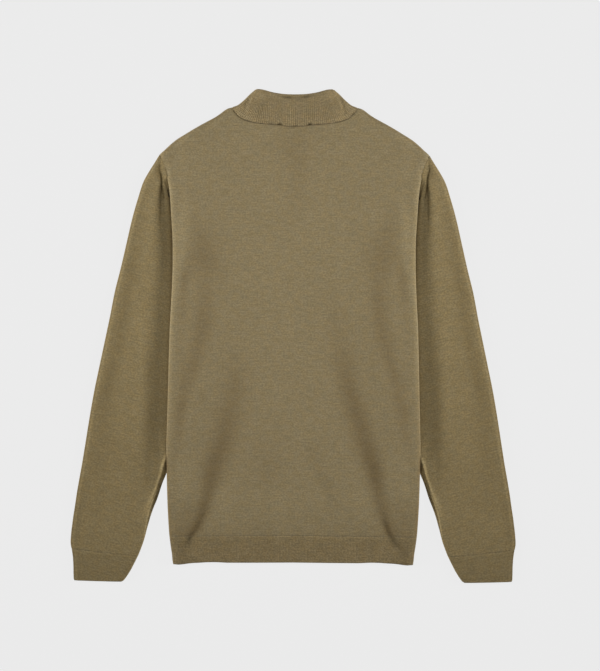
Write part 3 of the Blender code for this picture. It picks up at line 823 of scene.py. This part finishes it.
def sleeve_painted_shading_and_stitches(x, y):
    """Painted shading of the sleeve, and its linking stitches."""
    across = np.abs(x)
    tone = tones(sleeve_outer(y) - across, y, SLEEVE_PAINTED_SHADE) + tones(across, y, HEAD_PAINTED_SHADING)
    centre, width, share = columns(SLEEVE_SHADE, y)
    tone += share * ease((centre + width - across) / (2 * width))
    share, width = columns(EDGE_SHADE, y)
    tone += share * bell(across, side_edge(y), width)
    # Painted shade in the fold beside the armhole
    tone -= FOLD_PAINTED_SHADE * furrow(across, y, ARMHOLE_FOLD)
    crest = across - sleeve_lower(np.minimum(y, UNDERARM_Y)) - under_strip(y)
    # Painted highlight along the crest
    tone -= CREST_PAINTED_HIGHLIGHT * stretch(y, *CREST_PAINTED_HIGHLIGHT_ALONG) * bell(crest, *CREST_LIGHT)
    # Painted light over the dark line at the cuff's seam
    tone -= SLEEVE_JOINT_PAINTED_LIGHT * bell(y, cuff_seam(x), CUFF_JOINT_LINE)
    for x0, y0, x1, y1 in ARMHOLE_STITCHES:
        long = (x1 - x0) ** 2 + (y1 - y0) ** 2
        t = np.clip(((x - x0) * (x1 - x0) + (y - y0) * (y1 - y0)) / long, 0, 1)
        apart = np.hypot(x - x0 - t * (x1 - x0), y - y0 - t * (y1 - y0))
        tone += STITCH_TONE * bell(apart, 0, STITCH_LINE)
    return tone


def cuff_painted_shading(x, y):
    """Painted shading of the cuff: painted shade that makes it darker than the sleeve and darker
    at its side, and painted light at its seam.
    """
    below = cuff_seam(x) - y
    # Painted shade along the cuff's outer side
    side = CUFF_SIDE_PAINTED_SHADE * bell(np.abs(x), CUFF_ROWS[1][0], CUFF_SIDE_LINE)
    # Painted light over the dark line at the cuff's seam
    joint = CUFF_JOINT_PAINTED_LIGHT * bell(below, 0, CUFF_JOINT_LINE)
    # Painted shade of the ribs, darker than the sleeve
    tone = CUFF_PAINTED_SHADE[0] + CUFF_PAINTED_SHADE[1] * fade(below, *CUFF_PAINTED_SHADE_IN)
    return tone + side + edge_painted_shading(y - cuff_end(x), CUFF_LIGHT_REACH) - joint


# Meshes

def bridge(first, first_share, second, second_share):
    """Triangles between two lines of vertices, by their places along."""
    faces = []
    i = 0
    j = 0
    while i < len(first) - 1 or j < len(second) - 1:
        first_done = i == len(first) - 1
        second_done = j == len(second) - 1
        if second_done or (not first_done and first_share[i + 1] <= second_share[j + 1]):
            faces.append((first[i], first[i + 1], second[j]))
            i += 1
        else:
            faces.append((first[i], second[j + 1], second[j]))
            j += 1
    return faces


def grid_faces(numbers, closed):
    """Quads of a grid of vertex numbers."""
    right = np.roll(numbers, -1, axis=1)
    if not closed:
        numbers = numbers[:, :-1]
        right = right[:, :-1]
    quads = np.stack([numbers[:-1], right[:-1], right[1:], numbers[1:]], axis=-1)
    return [tuple(quad) for quad in quads.reshape(-1, 4).tolist()]


def wall(name, outer, inner, closed, material, node, painted_shading_and_stitches):
    """Closed shell of cloth between two grids.

    A grid is its places round the section, its points, and the place of each
    point on the knitted cloth before it was laid.
    """
    points, cloth = (
        np.concatenate([grid[k].reshape(-1, size) for grid in (outer, inner)])
        for k, size in ((1, 3), (2, 2)))
    first, second = (
        np.arange(shape[0] * shape[1]).reshape(shape)
        for shape in (outer[1].shape[:2], inner[1].shape[:2]))
    second += first.size
    faces = grid_faces(first, closed)
    faces += [face[::-1] for face in grid_faces(second, closed)]
    smooth = len(faces)
    for r, flip in ((0, False), (-1, True)):
        ends = []
        for numbers, grid in ((second, inner), (first, outer)):
            line = numbers[r].tolist()
            ends += [line + line[:1], [*grid[0], math.inf]] if closed else [line, grid[0]]
        strip = bridge(*ends)
        faces += [face[::-1] for face in strip] if flip else strip
    if not closed:
        for c, flip in ((0, True), (-1, False)):
            for r in range(len(first) - 1):
                face = (first[r, c], second[r, c], second[r + 1, c], first[r + 1, c])
                face = tuple(int(n) for n in face)
                faces.append(face[::-1] if flip else face)
    mesh = bpy.data.meshes.new(name)
    points = (points - [0, MIDDLE_Y, 0]) * METRE
    mesh.from_pydata(points.tolist(), [], faces)
    layer = mesh.uv_layers.new(name="cloth")
    corner = np.empty(len(mesh.loops), dtype=np.int32)
    mesh.loops.foreach_get("vertex_index", corner)
    layer.data.foreach_set("uv", (cloth[corner] * METRE).astype(np.float32).ravel())
    # Painted shading, with the sleeves' stitches, kept on the outer surface's points
    tone = np.zeros(len(points))
    tone[:first.size] = np.ravel(painted_shading_and_stitches)
    stored = mesh.attributes.new("painted_shading_and_stitches", "FLOAT", "POINT")
    stored.data.foreach_set("value", tone.astype(np.float32))
    mesh.polygons.foreach_set("use_smooth", np.arange(len(mesh.polygons)) < smooth)
    mesh.materials.append(material)
    piece = bpy.data.objects.new(name, mesh)
    bpy.context.scene.collection.objects.link(piece)
    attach(piece, "root")
    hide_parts(node)
    return piece


# Body panels

def edge_y(side_y):
    """Height at which a body row reaches its folded edge."""
    bend = ease((side_y - BEND_START) / (SHOULDER_Y - BEND_START))
    return side_y + bend * (shoulder(TIP_SHARE) - SHOULDER_Y)


def edge_x(side_y):
    """Half width of a body row at its folded edge."""
    return side_edge(edge_y(side_y))


def body_grid(rows, shares, row_y, top, depth, ribs, turn_steps=14, leg_steps=14):
    """Grid of one surface of a body layer, round the fold on both sides.

    depth is the distance from the outermost surface at the fold, and top gives
    the height of the surface on top.
    """
    side_y = rows[:, None]
    centre = edge_x(side_y) - FOLD_WIDTH
    depth = depth * thin(centre, side_y)
    reach = FOLD_WIDTH - depth
    start = centre + reach * math.cos(FOLD_START)
    share = shares[None, :]
    x = share * start
    y = row_y(side_y, share)
    z = top(x, y)
    if ribs:
        z += ribs(x, y)
    low = tuck_floor(centre, side_y) + depth
    high = top(start, row_y(side_y, np.ones((1, 1))))
    half = (high - low) / (1 + math.sin(FOLD_START))
    turned = np.arange(1, turn_steps) / turn_steps
    turn = FOLD_START - (FOLD_START + math.pi / 2) * np.arange(1, turn_steps) / turn_steps
    arc_x = centre + reach * np.cos(turn)[None, :]
    lift = np.sin(turn)[None, :]
    square = 1 - FOLD_SQUARE * fade(edge_y(side_y), *FOLD_SQUARE_UP)
    above = math.sin(FOLD_START) * (np.maximum(lift, 0) / math.sin(FOLD_START)) ** square
    arc_z = low + half + half * np.where(lift > 0, above, lift)
    arc_y = row_y(side_y, 1 + (arc_x - start) / (edge_x(side_y) - FOLD_REACH))
    leg = np.linspace(0, 1, leg_steps)[None, :]
    leg_x = centre + leg * (tuck_seam(side_y) - centre)
    leg_y = side_y + 0 * leg
    leg_z = tuck_floor(leg_x, leg_y) + depth
    parts = ((x, arc_x, leg_x), (y, arc_y, leg_y), (z, arc_z, leg_z))
    right = np.stack([np.concatenate(part, axis=1) for part in parts], axis=-1)
    place = np.concatenate([shares, 1 + turned, 2 + leg[0]])
    step = np.hypot(np.diff(right[:, :, 0], axis=1), np.diff(right[:, :, 2], axis=1))
    across = np.concatenate([np.zeros((len(rows), 1)), np.cumsum(step, axis=1)], axis=1)
    left = right[:, :0:-1].copy()
    left[:, :, 0] *= -1
    upper = left[:, 1 - shares.size:]
    left_x = upper[:, :, 0]
    left_y = upper[:, :, 1]
    upper[:, :, 2] = top(left_x, left_y) + (ribs(left_x, left_y) if ribs else 0)
    points = np.concatenate([left, right], axis=1)
    across = np.concatenate([-across[:, :0:-1], across], axis=1)
    places = np.concatenate([-place[:0:-1], place])
    return places, points, np.stack([across, points[:, :, 1]], axis=-1)


def body_rows(neck):
    """Height of the body's rows: level, and bending to the neck above."""
    def row_y(side_y, share):
        bend = ease((side_y - BEND_START) / (SHOULDER_Y - BEND_START))
        flat = 1 - fade(side_y, RIB_TOP_Y, RIB_LEVEL)
        low = rib_top(share) - RIB_TOP_Y
        return side_y + flat * low + bend * (body_top(neck, share) - SHOULDER_Y)
    return row_y


def hem_rows(side_y, share):
    """Height of the hem's rows."""
    low = hem_edge(share)
    part = (side_y - HEM_Y) / (RIB_TOP_Y - JOIN - HEM_Y)
    return low + part * (rib_top(share) - JOIN - low)


def hem_ribs(x, y):
    """Rounded ribs running along y, ending at the seam."""
    wave = 0.5 + 0.5 * np.cos(x * TURN / HEM_RIB_PITCH)
    return HEM_RIB_HEIGHT * wave * fade(-y, -1 - RIB_TOP_Y, HEM_RIB_FADE)


def panel(name, node, rows, shares, row_y, layer, material, ribs=None):
    """Shell of a body layer, which gives the top and depth of its two surfaces."""
    fine, coarse = shares
    outer = body_grid(rows, fine, row_y, *layer[0], ribs)
    inner = body_grid(rows, coarse, row_y, *layer[1], None)
    shown = layer[0][0] is back_top
    painted_shading_and_stitches = body_painted_shading(outer[1][:, :, 0], outer[1][:, :, 1]) if shown else 0
    return wall(name, outer, inner, False, material, node, painted_shading_and_stitches)


def make_body(knit, rib):
    """Back and front panels, and their hem ribs."""
    neck = [row[0] for row in BACK_NECK]
    fine = np.concatenate([np.linspace(0, 0.9, 111), np.linspace(0.903, 1, 26), neck])
    fine = np.unique(fine)
    coarse = np.unique(np.concatenate([np.linspace(0, 1, 21), neck]))
    rows, few = (
        np.concatenate([np.arange(RIB_TOP_Y, FINE_Y, step), np.linspace(FINE_Y, SHOULDER_Y, n)])
        for step, n in ((2.9, 40), (12, 16)))
    back = ((back_top, 0), (back_under, CLOTH))
    front = ((front_top, CLOTH + SEAM_GAP), (front_floor, 2 * CLOTH + SEAM_GAP))
    hem = np.linspace(HEM_Y, RIB_TOP_Y - JOIN, 22)
    half = (side_edge(HEM_RIB_Y) - FOLD_REACH) / HEM_RIB_PITCH
    ribs = np.linspace(0, 1, int(half * RIB_POINTS) + 1)
    return (
        panel("back", "back_panel", rows, (fine, coarse), body_rows(back_neck), back, knit),
        panel("front", "front_panel", few, (coarse, coarse), body_rows(front_neck), front, knit),
        panel("hem_back", "hem_rib_back", hem, (ribs, coarse), hem_rows, back, rib, hem_ribs),
        panel("hem_front", "hem_rib_front", hem[::3], (coarse, coarse), hem_rows, front, rib))


# Sleeves and cuffs

def unit(vectors):
    """Vectors made one long."""
    return vectors / np.linalg.norm(vectors, axis=1)[:, None]


def walk(points, count, bias=0):
    """Points along a smooth line through the given ones, closer at its start with a bias."""
    line = np.array(points, dtype=float)
    steps = np.hypot(*np.diff(line, axis=0).T)
    length = np.concatenate([[0], np.cumsum(steps)])
    part = np.linspace(0, 1, count)
    place = length[-1] * (part * (1 - bias) + bias * part * part)
    smooth = [curve(np.stack([length, line[:, k]], axis=1))(place) for k in range(2)]
    return np.stack(smooth, axis=1)


def tube_grid(plan, top, depth, ribs, side, upper_count):
    """Grid of one surface of a flattened tube over rows of plan points."""
    radius = SLEEVE_FLAT / 2
    small = radius - depth
    start = unit(plan[:, 0] - plan[:, 1])
    end = unit(plan[:, -1] - plan[:, -2])
    line = plan.copy()
    line[:, 0] -= start * radius
    line[:, -1] -= end * radius
    place = np.linspace(0, 1, plan.shape[1])
    share = np.linspace(0, 1, upper_count)
    fine = np.empty((plan.shape[0], upper_count, 2))
    for r in range(plan.shape[0]):
        for k in range(2):
            fine[r, :, k] = np.interp(share, place, line[r, :, k])
    z = np.maximum(top(fine[:, :, 0], fine[:, :, 1]) - depth, depth + LEAST_GAP)
    if ribs:
        z += ribs(share[None, :])
    lift = (z[:, -1:] + depth) / 2
    arc = line[:, -1:] + end[:, None] * small * np.cos(ARC)[None, :, None]
    arc_z = lift + (lift - depth) * np.sin(ARC)[None, :]
    lift_back = (z[:, :1] + depth) / 2
    arc_back = line[:, :1] + start[:, None] * small * np.cos(ARC)[None, :, None]
    arc_back_z = lift_back - (lift_back - depth) * np.sin(ARC)[None, :]
    lower = line[:, ::-1]
    flat = np.concatenate([fine, arc, lower, arc_back], axis=1)
    height = np.concatenate([z, arc_z, lower[:, :, 0] * 0 + depth, arc_back_z], axis=1)
    along = flat @ SLEEVE_WAY
    across = flat @ np.array([-SLEEVE_WAY[1], SLEEVE_WAY[0]])
    cloth = np.stack([across * side, -along], axis=-1)
    points = np.stack([flat[:, :, 0] * side, flat[:, :, 1], height], axis=-1)
    places = np.concatenate([share, 1 + ARC_PLACES, 2 + place, 3 + ARC_PLACES])
    if side < 0:
        points = points[:, ::-1]
        cloth = cloth[:, ::-1]
        places = 4 - places[::-1]
    return places, points, cloth


def tube(name, node, outer, inner, tone, material):
    """Shell of a sleeve or cuff, with its painted shading on the upper side."""
    points = outer[1]
    painted_shading_and_stitches = tone(points[:, :, 0], points[:, :, 1]) * (points[:, :, 2] > CLOTH)
    return wall(name, outer, inner, True, material, node, painted_shading_and_stitches)


def make_sleeve(side, suffix, knit, rib):
    """One sleeve and its cuff."""
    hole_y = np.linspace(UNDERARM_Y, SIDE_EDGE[-1][0], SLEEVE_COLUMNS)[::-1]
    hole = np.stack([armhole(hole_y) + JOIN - TUCKED_DEPTH * head_tuck(hole_y), hole_y], axis=1)
    steps = np.hypot(*np.diff(hole, axis=0).T)
    share = np.concatenate([[0], np.cumsum(steps)]) / steps.sum()
    bow = hole - (hole[0] + share[:, None] * (hole[-1] - hole[0]))
    low, high = SLEEVE_SPAN
    lines = (
        [hole[0], *((x, y) for y, x in sorted(SLEEVE_OUTER)[::-1] if high > y > low)],
        [hole[-1], *((x, y) for y, x in SLEEVE_INNER[::-1] if UNDERARM_Y > y > SLEEVE_INNER_END)])
    outer_edge, inner_edge = (
        walk([*line, end], SLEEVE_ROWS, SLEEVE_BIAS) for line, end in zip(lines, SLEEVE_END))
    part = np.linspace(0, 1, SLEEVE_ROWS)
    part = part * (1 - SLEEVE_BIAS) + SLEEVE_BIAS * part * part
    fall = np.clip(1 - part / SLEEVE_BOW, 0, 1)[:, None, None] ** 2
    plan = (outer_edge[:, None] + share[None, :, None] * (inner_edge - outer_edge)[:, None]
            + bow[None] * fall)
    outer = tube_grid(plan, sleeve_top, 0, None, side, 150)
    inner = tube_grid(plan[:, ::4], sleeve_top, CLOTH, None, side, 40)
    sleeve = tube(suffix + "_sleeve", "sleeve_" + suffix, outer, inner, sleeve_painted_shading_and_stitches, knit)

    table = np.array(CUFF_ROWS)
    stops = np.linspace(0, 1, len(table))
    part = np.linspace(0, 1, 18)
    ends = np.stack([np.interp(part, stops, column) for column in table.T], axis=1)
    place = np.linspace(0, 1, 21)[None, :, None]
    plan = ends[:, None, :2] + place * (ends[:, None, 2:] - ends[:, None, :2])
    count = int(CUFF_WIDTH / CUFF_RIB_PITCH)

    def cuff_ribs(share):
        return CUFF_RIB_HEIGHT * (0.5 - 0.5 * np.cos(share * TURN * count))

    outer = tube_grid(plan, cuff_top, 0, cuff_ribs, side, count * RIB_POINTS + 1)
    inner = tube_grid(plan[:, ::2], cuff_top, CLOTH, None, side, 15)
    return sleeve, tube(suffix + "_cuff", "cuff_" + suffix, outer, inner, cuff_painted_shading, rib)


# Collar

def neck_gap(x):
    """Width of the opening along the neck seam."""
    x = np.abs(x)
    width = NECK_GAP + NECK_GAP_SIDE * fade(x, *NECK_GAP_OUT)
    for centre, half, wide in NECK_OPENINGS:
        width += wide * (1 - fade(np.abs(x - centre), half - 2, OPENING_FADE))
    return width


def collar_edges(neck, top, shares, radius, open_seam):
    """Base and top points of half of a collar layer."""
    share = np.linspace(0, NECK_SHARE, 160)
    x = share * SHOULDER_SPAN
    gap = neck_gap(x) if open_seam else FRONT_NECK_GAP
    inset = NECK_INSET * np.minimum(1, share / NECK_INSET_SHARE)
    base = walk(np.stack([x - inset, neck(share) + gap], axis=1), 500)
    ends = []
    for line, places in ((base, shares), (walk(top, 500), curve(COLLAR_FAN)(shares))):
        length = np.hypot(*np.diff(line, axis=0).T).sum()
        ends.append(at(line, places * (1 - radius / length) * (len(line) - 1)))
    return ends


def collar_grid(rows, shares, depth, rise):
    """Grid of one surface of the collar."""
    radius = (2 * COLLAR_CLOTH + SEAM_GAP) / 2
    small = radius - depth
    plain = np.linspace(0, 1, 25)
    back = collar_edges(back_neck, COLLAR_BACK_TOP, shares, radius, True)
    front = collar_edges(front_neck, COLLAR_FRONT_TOP, plain, radius, False)
    side = walk(COLLAR_SIDE, 400)
    way = np.gradient(side, axis=0)
    out = unit(np.stack([way[:, 1], -way[:, 0]], axis=1))
    last = len(side) - 1
    level = fade(np.arange(len(side)) / last, *COLLAR_LEVEL)[:, None]
    out = unit(out + level * (np.array([[1, 0]]) - out))
    side = at(side, rows * last)
    out = at(out, rows * last)
    row = rows[:, None, None]
    upper = back[0][None] + row * (back[1] - back[0])[None]
    lower = front[0][None] + row * (front[1] - front[0])[None]
    pull = (side - out * radius - upper[:, -1])[:, None]
    upper = upper + fade(shares, *COLLAR_PULL)[None, :, None] * pull
    lower = lower + fade(plain, *COLLAR_PULL)[None, :, None] * pull
    lower[:, -1] = upper[:, -1]
    z = 2 * radius - depth + 0 * upper[:, :, 0]
    if rise:
        z += rise(shares[None, :], rows[:, None], upper[:, :, 0], upper[:, :, 1])
    arc = upper[:, -1:] + out[:, None] * small * np.cos(ARC)[None, :, None]
    arc_z = radius + small * np.sin(ARC)[None, :] + 0 * arc[:, :, 0]
    low = lower[:, ::-1]
    half = np.concatenate([upper, arc, low], axis=1)
    height = np.concatenate([z, arc_z, depth + 0 * low[:, :, 0]], axis=1)
    place = np.concatenate([shares, 1 + ARC_PLACES, 3 - plain[::-1]])
    girth = np.concatenate([
        shares * COLLAR_GIRTH, COLLAR_GIRTH + np.arange(1, 8),
        FRONT_GIRTH[0] + FRONT_GIRTH[1] * (1 - plain[::-1])])
    right = np.stack([half[:, :, 0], half[:, :, 1], height], axis=-1)
    left = right[:, -2:0:-1].copy()
    left[:, :, 0] *= -1
    points = np.concatenate([right, left], axis=1)
    places = np.concatenate([place, 6 - place[-2:0:-1]])
    across = np.concatenate([girth, -girth[-2:0:-1]])
    cloth = np.stack(np.broadcast_arrays(across, rows[:, None] * COLLAR_HEIGHT), axis=-1)
    return places, points, cloth


# Painted shade and painted highlights of the collar, at its turn, its sides, its dents, its top
# and above the seam: depth, and the shapes it is multiplied by
COLLAR_PAINTED_SHADING = [
    (0.09, (bell, "turn", 4.5, 2.4), (fade, "row", 0, 0.2)),
    (-0.10, (bell, "turn", 0, 2.6), (fade, "row", 0, 0.3)),
    (-0.20, (bell, "across", 57, 7), (fade, "row", 0.50, 0.3)),
    (0.46, (bell, "x", -11, 6.5), (bell, "row", 0.90, 0.042)),
    (0.42, (bell, "x", 18, 6.5), (bell, "row", 0.90, 0.042)),
    (0.13, (bell, "x", 4, 24), (bell, "row", 0.90, 0.042)),
    (0.07, (bell, "x", 0, 26), (bell, "row", 0.82, 0.12)),
    (0.22, (fade, "row", 0.965, 0.03), (fade, "across", 16, 12)),
    (-0.13, (fade, "across", 54, 16)),
    (-0.07, (bell, "row", 0.09, 0.05)),
]


def rib_wave(share):
    """1 on a rib of the collar and 0 between two."""
    return 0.5 + 0.5 * np.cos(share * math.pi * COLLAR_RIBS)


def collar_rise(share, row, x, y):
    """Relief of the collar over its plain surface."""
    ribs = COLLAR_RIB_HEIGHT[0] - COLLAR_RIB_HEIGHT[1] * fade(row, *COLLAR_RIB_OUT)
    turn = x - collar_turn(y)
    ridge = RIDGE_HEIGHT * bell(turn, *TURN_RIDGE) - DIP_DEPTH * bell(turn, *TURN_DIP)
    ridge = ridge * fade(row, *TURN_IN)
    base = -BASE_DROP * (1 - fade(row, 0, BASE_REACH))
    base = base - fade(x, *SIDE_DROP) * (1 - fade(row, 0, SIDE_REACH))
    return ribs * rib_wave(share) + ridge + base - TOP_DROP * rounding(1 - row, TOP_ROUND)


def collar_painted_shading(share, row, x, y):
    """Painted shading of the collar: painted shade between its ribs, at its dents and top and
    along the neck seam, and painted highlights.
    """
    across = np.abs(x)
    places = {"x": x, "across": across, "turn": across - collar_turn(y), "row": row}
    # Painted shade between the ribs and painted highlight on them, weaker towards the top
    left = 1 - COLLAR_RIB_SHADING_LOSS * fade(row, *COLLAR_RIB_OUT)
    tone = COLLAR_RIB_SHADING * left * (0.5 - rib_wave(share))
    # Painted shade and painted highlights at the turn, sides, dents and top
    for depth, *parts in COLLAR_PAINTED_SHADING:
        for shape, place, *numbers in parts:
            depth = depth * shape(places[place], *numbers)
        tone += depth
    # Painted shadows of the neck seam, and painted light where it is faint
    for centre, half, depth in NECK_SEAM_SHADING:
        tone += depth * (np.exp(-(((x - centre) / half) ** 4)) * bell(row, 0, NECK_SHADOW_ROW))
    return tone


def make_collar(rib):
    """Folded rib collar."""
    rows = np.concatenate([np.linspace(0, 0.9, 40), np.linspace(0.91, 1, 12)])
    shares = np.linspace(0, 1, COLLAR_RIBS * COLLAR_RIB_POINTS)
    outer = collar_grid(rows, shares, 0, collar_rise)
    few = np.concatenate([rows[:40:6], rows[-1:]])
    inner = collar_grid(few, np.linspace(0, 1, 25), COLLAR_CLOTH, None)
    places, points, _ = outer
    share = np.minimum(places, 6 - places)
    painted_shading_and_stitches = collar_painted_shading(share[None, :], rows[:, None], points[:, :, 0], points[:, :, 1])
    return wall("collar_band", outer, inner, True, rib, "collar", painted_shading_and_stitches * (share <= 1))


# Materials, light and camera

def new_material(name, settings):
    """Material with the given settings of its shader, and the shader."""
    material = bpy.data.materials.new(name)
    material.use_nodes = True
    shader = material.node_tree.nodes["Principled BSDF"]
    for key, value in settings.items():
        shader.inputs[key].default_value = value
    return material, shader


def knit_material(name, colour, contrast, shade_warmth):
    """Matt melange knit with fine stitches."""
    material, shader = new_material(name, KNIT_SHADER)
    nodes = material.node_tree.nodes
    links = material.node_tree.links

    def add(kind, operation, *values):
        """Result of a new node, given links and constants for its inputs."""
        node = nodes.new("ShaderNode" + kind)
        node.operation = operation
        for socket, value in zip(node.inputs, values):
            if isinstance(value, bpy.types.NodeSocket):
                links.new(value, socket)
            elif value is not None:
                socket.default_value = value
        return node.outputs[0]

    uv = nodes.new("ShaderNodeUVMap")
    uv.uv_map = "cloth"
    # Painted shading, with the sleeves' stitches, read from the mesh
    painted_shading_and_stitches = nodes.new("ShaderNodeAttribute")
    painted_shading_and_stitches.attribute_name = "painted_shading_and_stitches"
    painted_shading_and_stitches = painted_shading_and_stitches.outputs["Fac"]

    def noise(scale_x, scale_y, detail, reach, change):
        """Factor about 1 from a noise on the cloth."""
        mapping = nodes.new("ShaderNodeMapping")
        mapping.inputs["Scale"].default_value = (scale_x, scale_y, 1)
        links.new(uv.outputs["UV"], mapping.inputs["Vector"])
        texture = nodes.new("ShaderNodeTexNoise")
        texture.noise_dimensions = "2D"
        texture.inputs["Scale"].default_value = 1
        texture.inputs["Detail"].default_value = detail
        links.new(mapping.outputs["Vector"], texture.inputs["Vector"])
        ramp = nodes.new("ShaderNodeMapRange")
        ends = (*reach, 1 - change, 1 + change)
        for key, value in zip(("From Min", "From Max", "To Min", "To Max"), ends):
            ramp.inputs[key].default_value = value
        links.new(texture.outputs["Fac"], ramp.inputs["Value"])
        return ramp.outputs["Result"]

    grain, streak, cloud = (
        noise(*scales, NOISE_RANGE, change * contrast)
        for *scales, change in (GRAIN, STREAK, CLOUD))
    texture = add("Math", "MULTIPLY", add("Math", "MULTIPLY", grain, streak), cloud)
    # Painted shade darkens the yarn and painted highlight lightens it
    factor = add("Math", "MULTIPLY", texture, add("Math", "SUBTRACT", 1, painted_shading_and_stitches))
    hue = add("VectorMath", "MULTIPLY_ADD", noise(*HUE_PATCHES, HUE_RANGE, 1),
              [a * b for a, b in zip(colour, HUE_SHIFT)],
              [a * (1 - b) for a, b in zip(colour, HUE_SHIFT)])
    # Painted shade also turns the yarn warmer
    warm = add("VectorMath", "MULTIPLY_ADD", add("Math", "MAXIMUM", painted_shading_and_stitches, 0),
               [-share for share in shade_warmth], (1, 1, 1))
    both = add("VectorMath", "MULTIPLY", hue, warm)
    links.new(add("VectorMath", "SCALE", both, None, None, factor), shader.inputs["Base Color"])
    bump = nodes.new("ShaderNodeBump")
    bump.inputs["Strength"].default_value = BUMP_STRENGTH
    bump.inputs["Distance"].default_value = BUMP_DISTANCE
    links.new(texture, bump.inputs["Height"])
    links.new(bump.outputs["Normal"], shader.inputs["Normal"])
    return material


def make_floor():
    """Plain pale surface."""
    mesh = bpy.data.meshes.new("floor")
    corners = ((-1, -1), (1, -1), (1, 1), (-1, 1))
    points = [(x * FLOOR_SIZE, y * FLOOR_SIZE, FLOOR_Z) for x, y in corners]
    mesh.from_pydata(points, [], [(0, 1, 2, 3)])
    floor = bpy.data.objects.new("floor", mesh)
    bpy.context.scene.collection.objects.link(floor)
    mesh.materials.append(new_material("pale_surface", FLOOR_SHADER)[0])
    return floor


def aim(lamp, place, target):
    """Put a lamp in its place and turn it to its target."""
    node = bpy.data.objects.new(lamp.name, lamp)
    x, y, z = (b - a for a, b in zip(place, target))
    node.location = place
    node.rotation_euler = (math.atan2(math.hypot(x, y), -z), 0, math.atan2(y, x) - math.pi / 2)
    bpy.context.scene.collection.objects.link(node)


def make_light():
    """Soft studio light: two low lamps at the sides, one above the collar's side."""
    world = bpy.data.worlds.new("studio")
    bpy.context.scene.world = world
    world.use_nodes = True
    back = world.node_tree.nodes["Background"]
    back.inputs["Color"].default_value = (1, 1, 1, 1)
    back.inputs["Strength"].default_value = WORLD
    angle = math.radians(SIDE_ELEVATION)
    across = SIDE_DISTANCE * math.cos(angle)
    for name, side in (("light_left", -1), ("light_right", 1)):
        lamp = bpy.data.lights.new(name, "SPOT")
        lamp.energy = SIDE_ENERGY
        lamp.shadow_soft_size = SIDE_RADIUS
        lamp.spot_size = math.radians(SPOT_ANGLE)
        lamp.spot_blend = 1
        aim(lamp, (side * across, SPOT_Y, SIDE_DISTANCE * math.sin(angle)), (0, SPOT_Y, 0))
    lamp = bpy.data.lights.new("light_top", "AREA")
    lamp.energy = TOP_ENERGY
    lamp.size = TOP_SIZE
    aim(lamp, TOP_PLACE, TOP_TARGET)


def make_camera():
    """Camera straight above."""
    data = bpy.data.cameras.new("camera")
    data.type = "PERSP"
    data.lens = 100
    data.sensor_width = 36
    data.clip_end = 20
    camera = bpy.data.objects.new("camera", data)
    camera.location = CAMERA_PLACE
    camera.rotation_euler = (0, 0, CAMERA_TURN)
    bpy.context.scene.collection.objects.link(camera)
    bpy.context.scene.camera = camera


def main():
    """Build the visual model."""
    knit, sleeve_knit, rib, collar_rib, cuff_rib = (
        knit_material(name, *look) for name, look in LOOKS.items())
    back, front, hem_back, hem_front = make_body(knit, rib)
    right = make_sleeve(1, "right", sleeve_knit, cuff_rib)
    left = make_sleeve(-1, "left", sleeve_knit, cuff_rib)
    collar = make_collar(collar_rib)
    floor = make_floor()
    make_light()
    make_camera()
    bpy.context.scene.view_settings.view_transform = "Standard"


main()
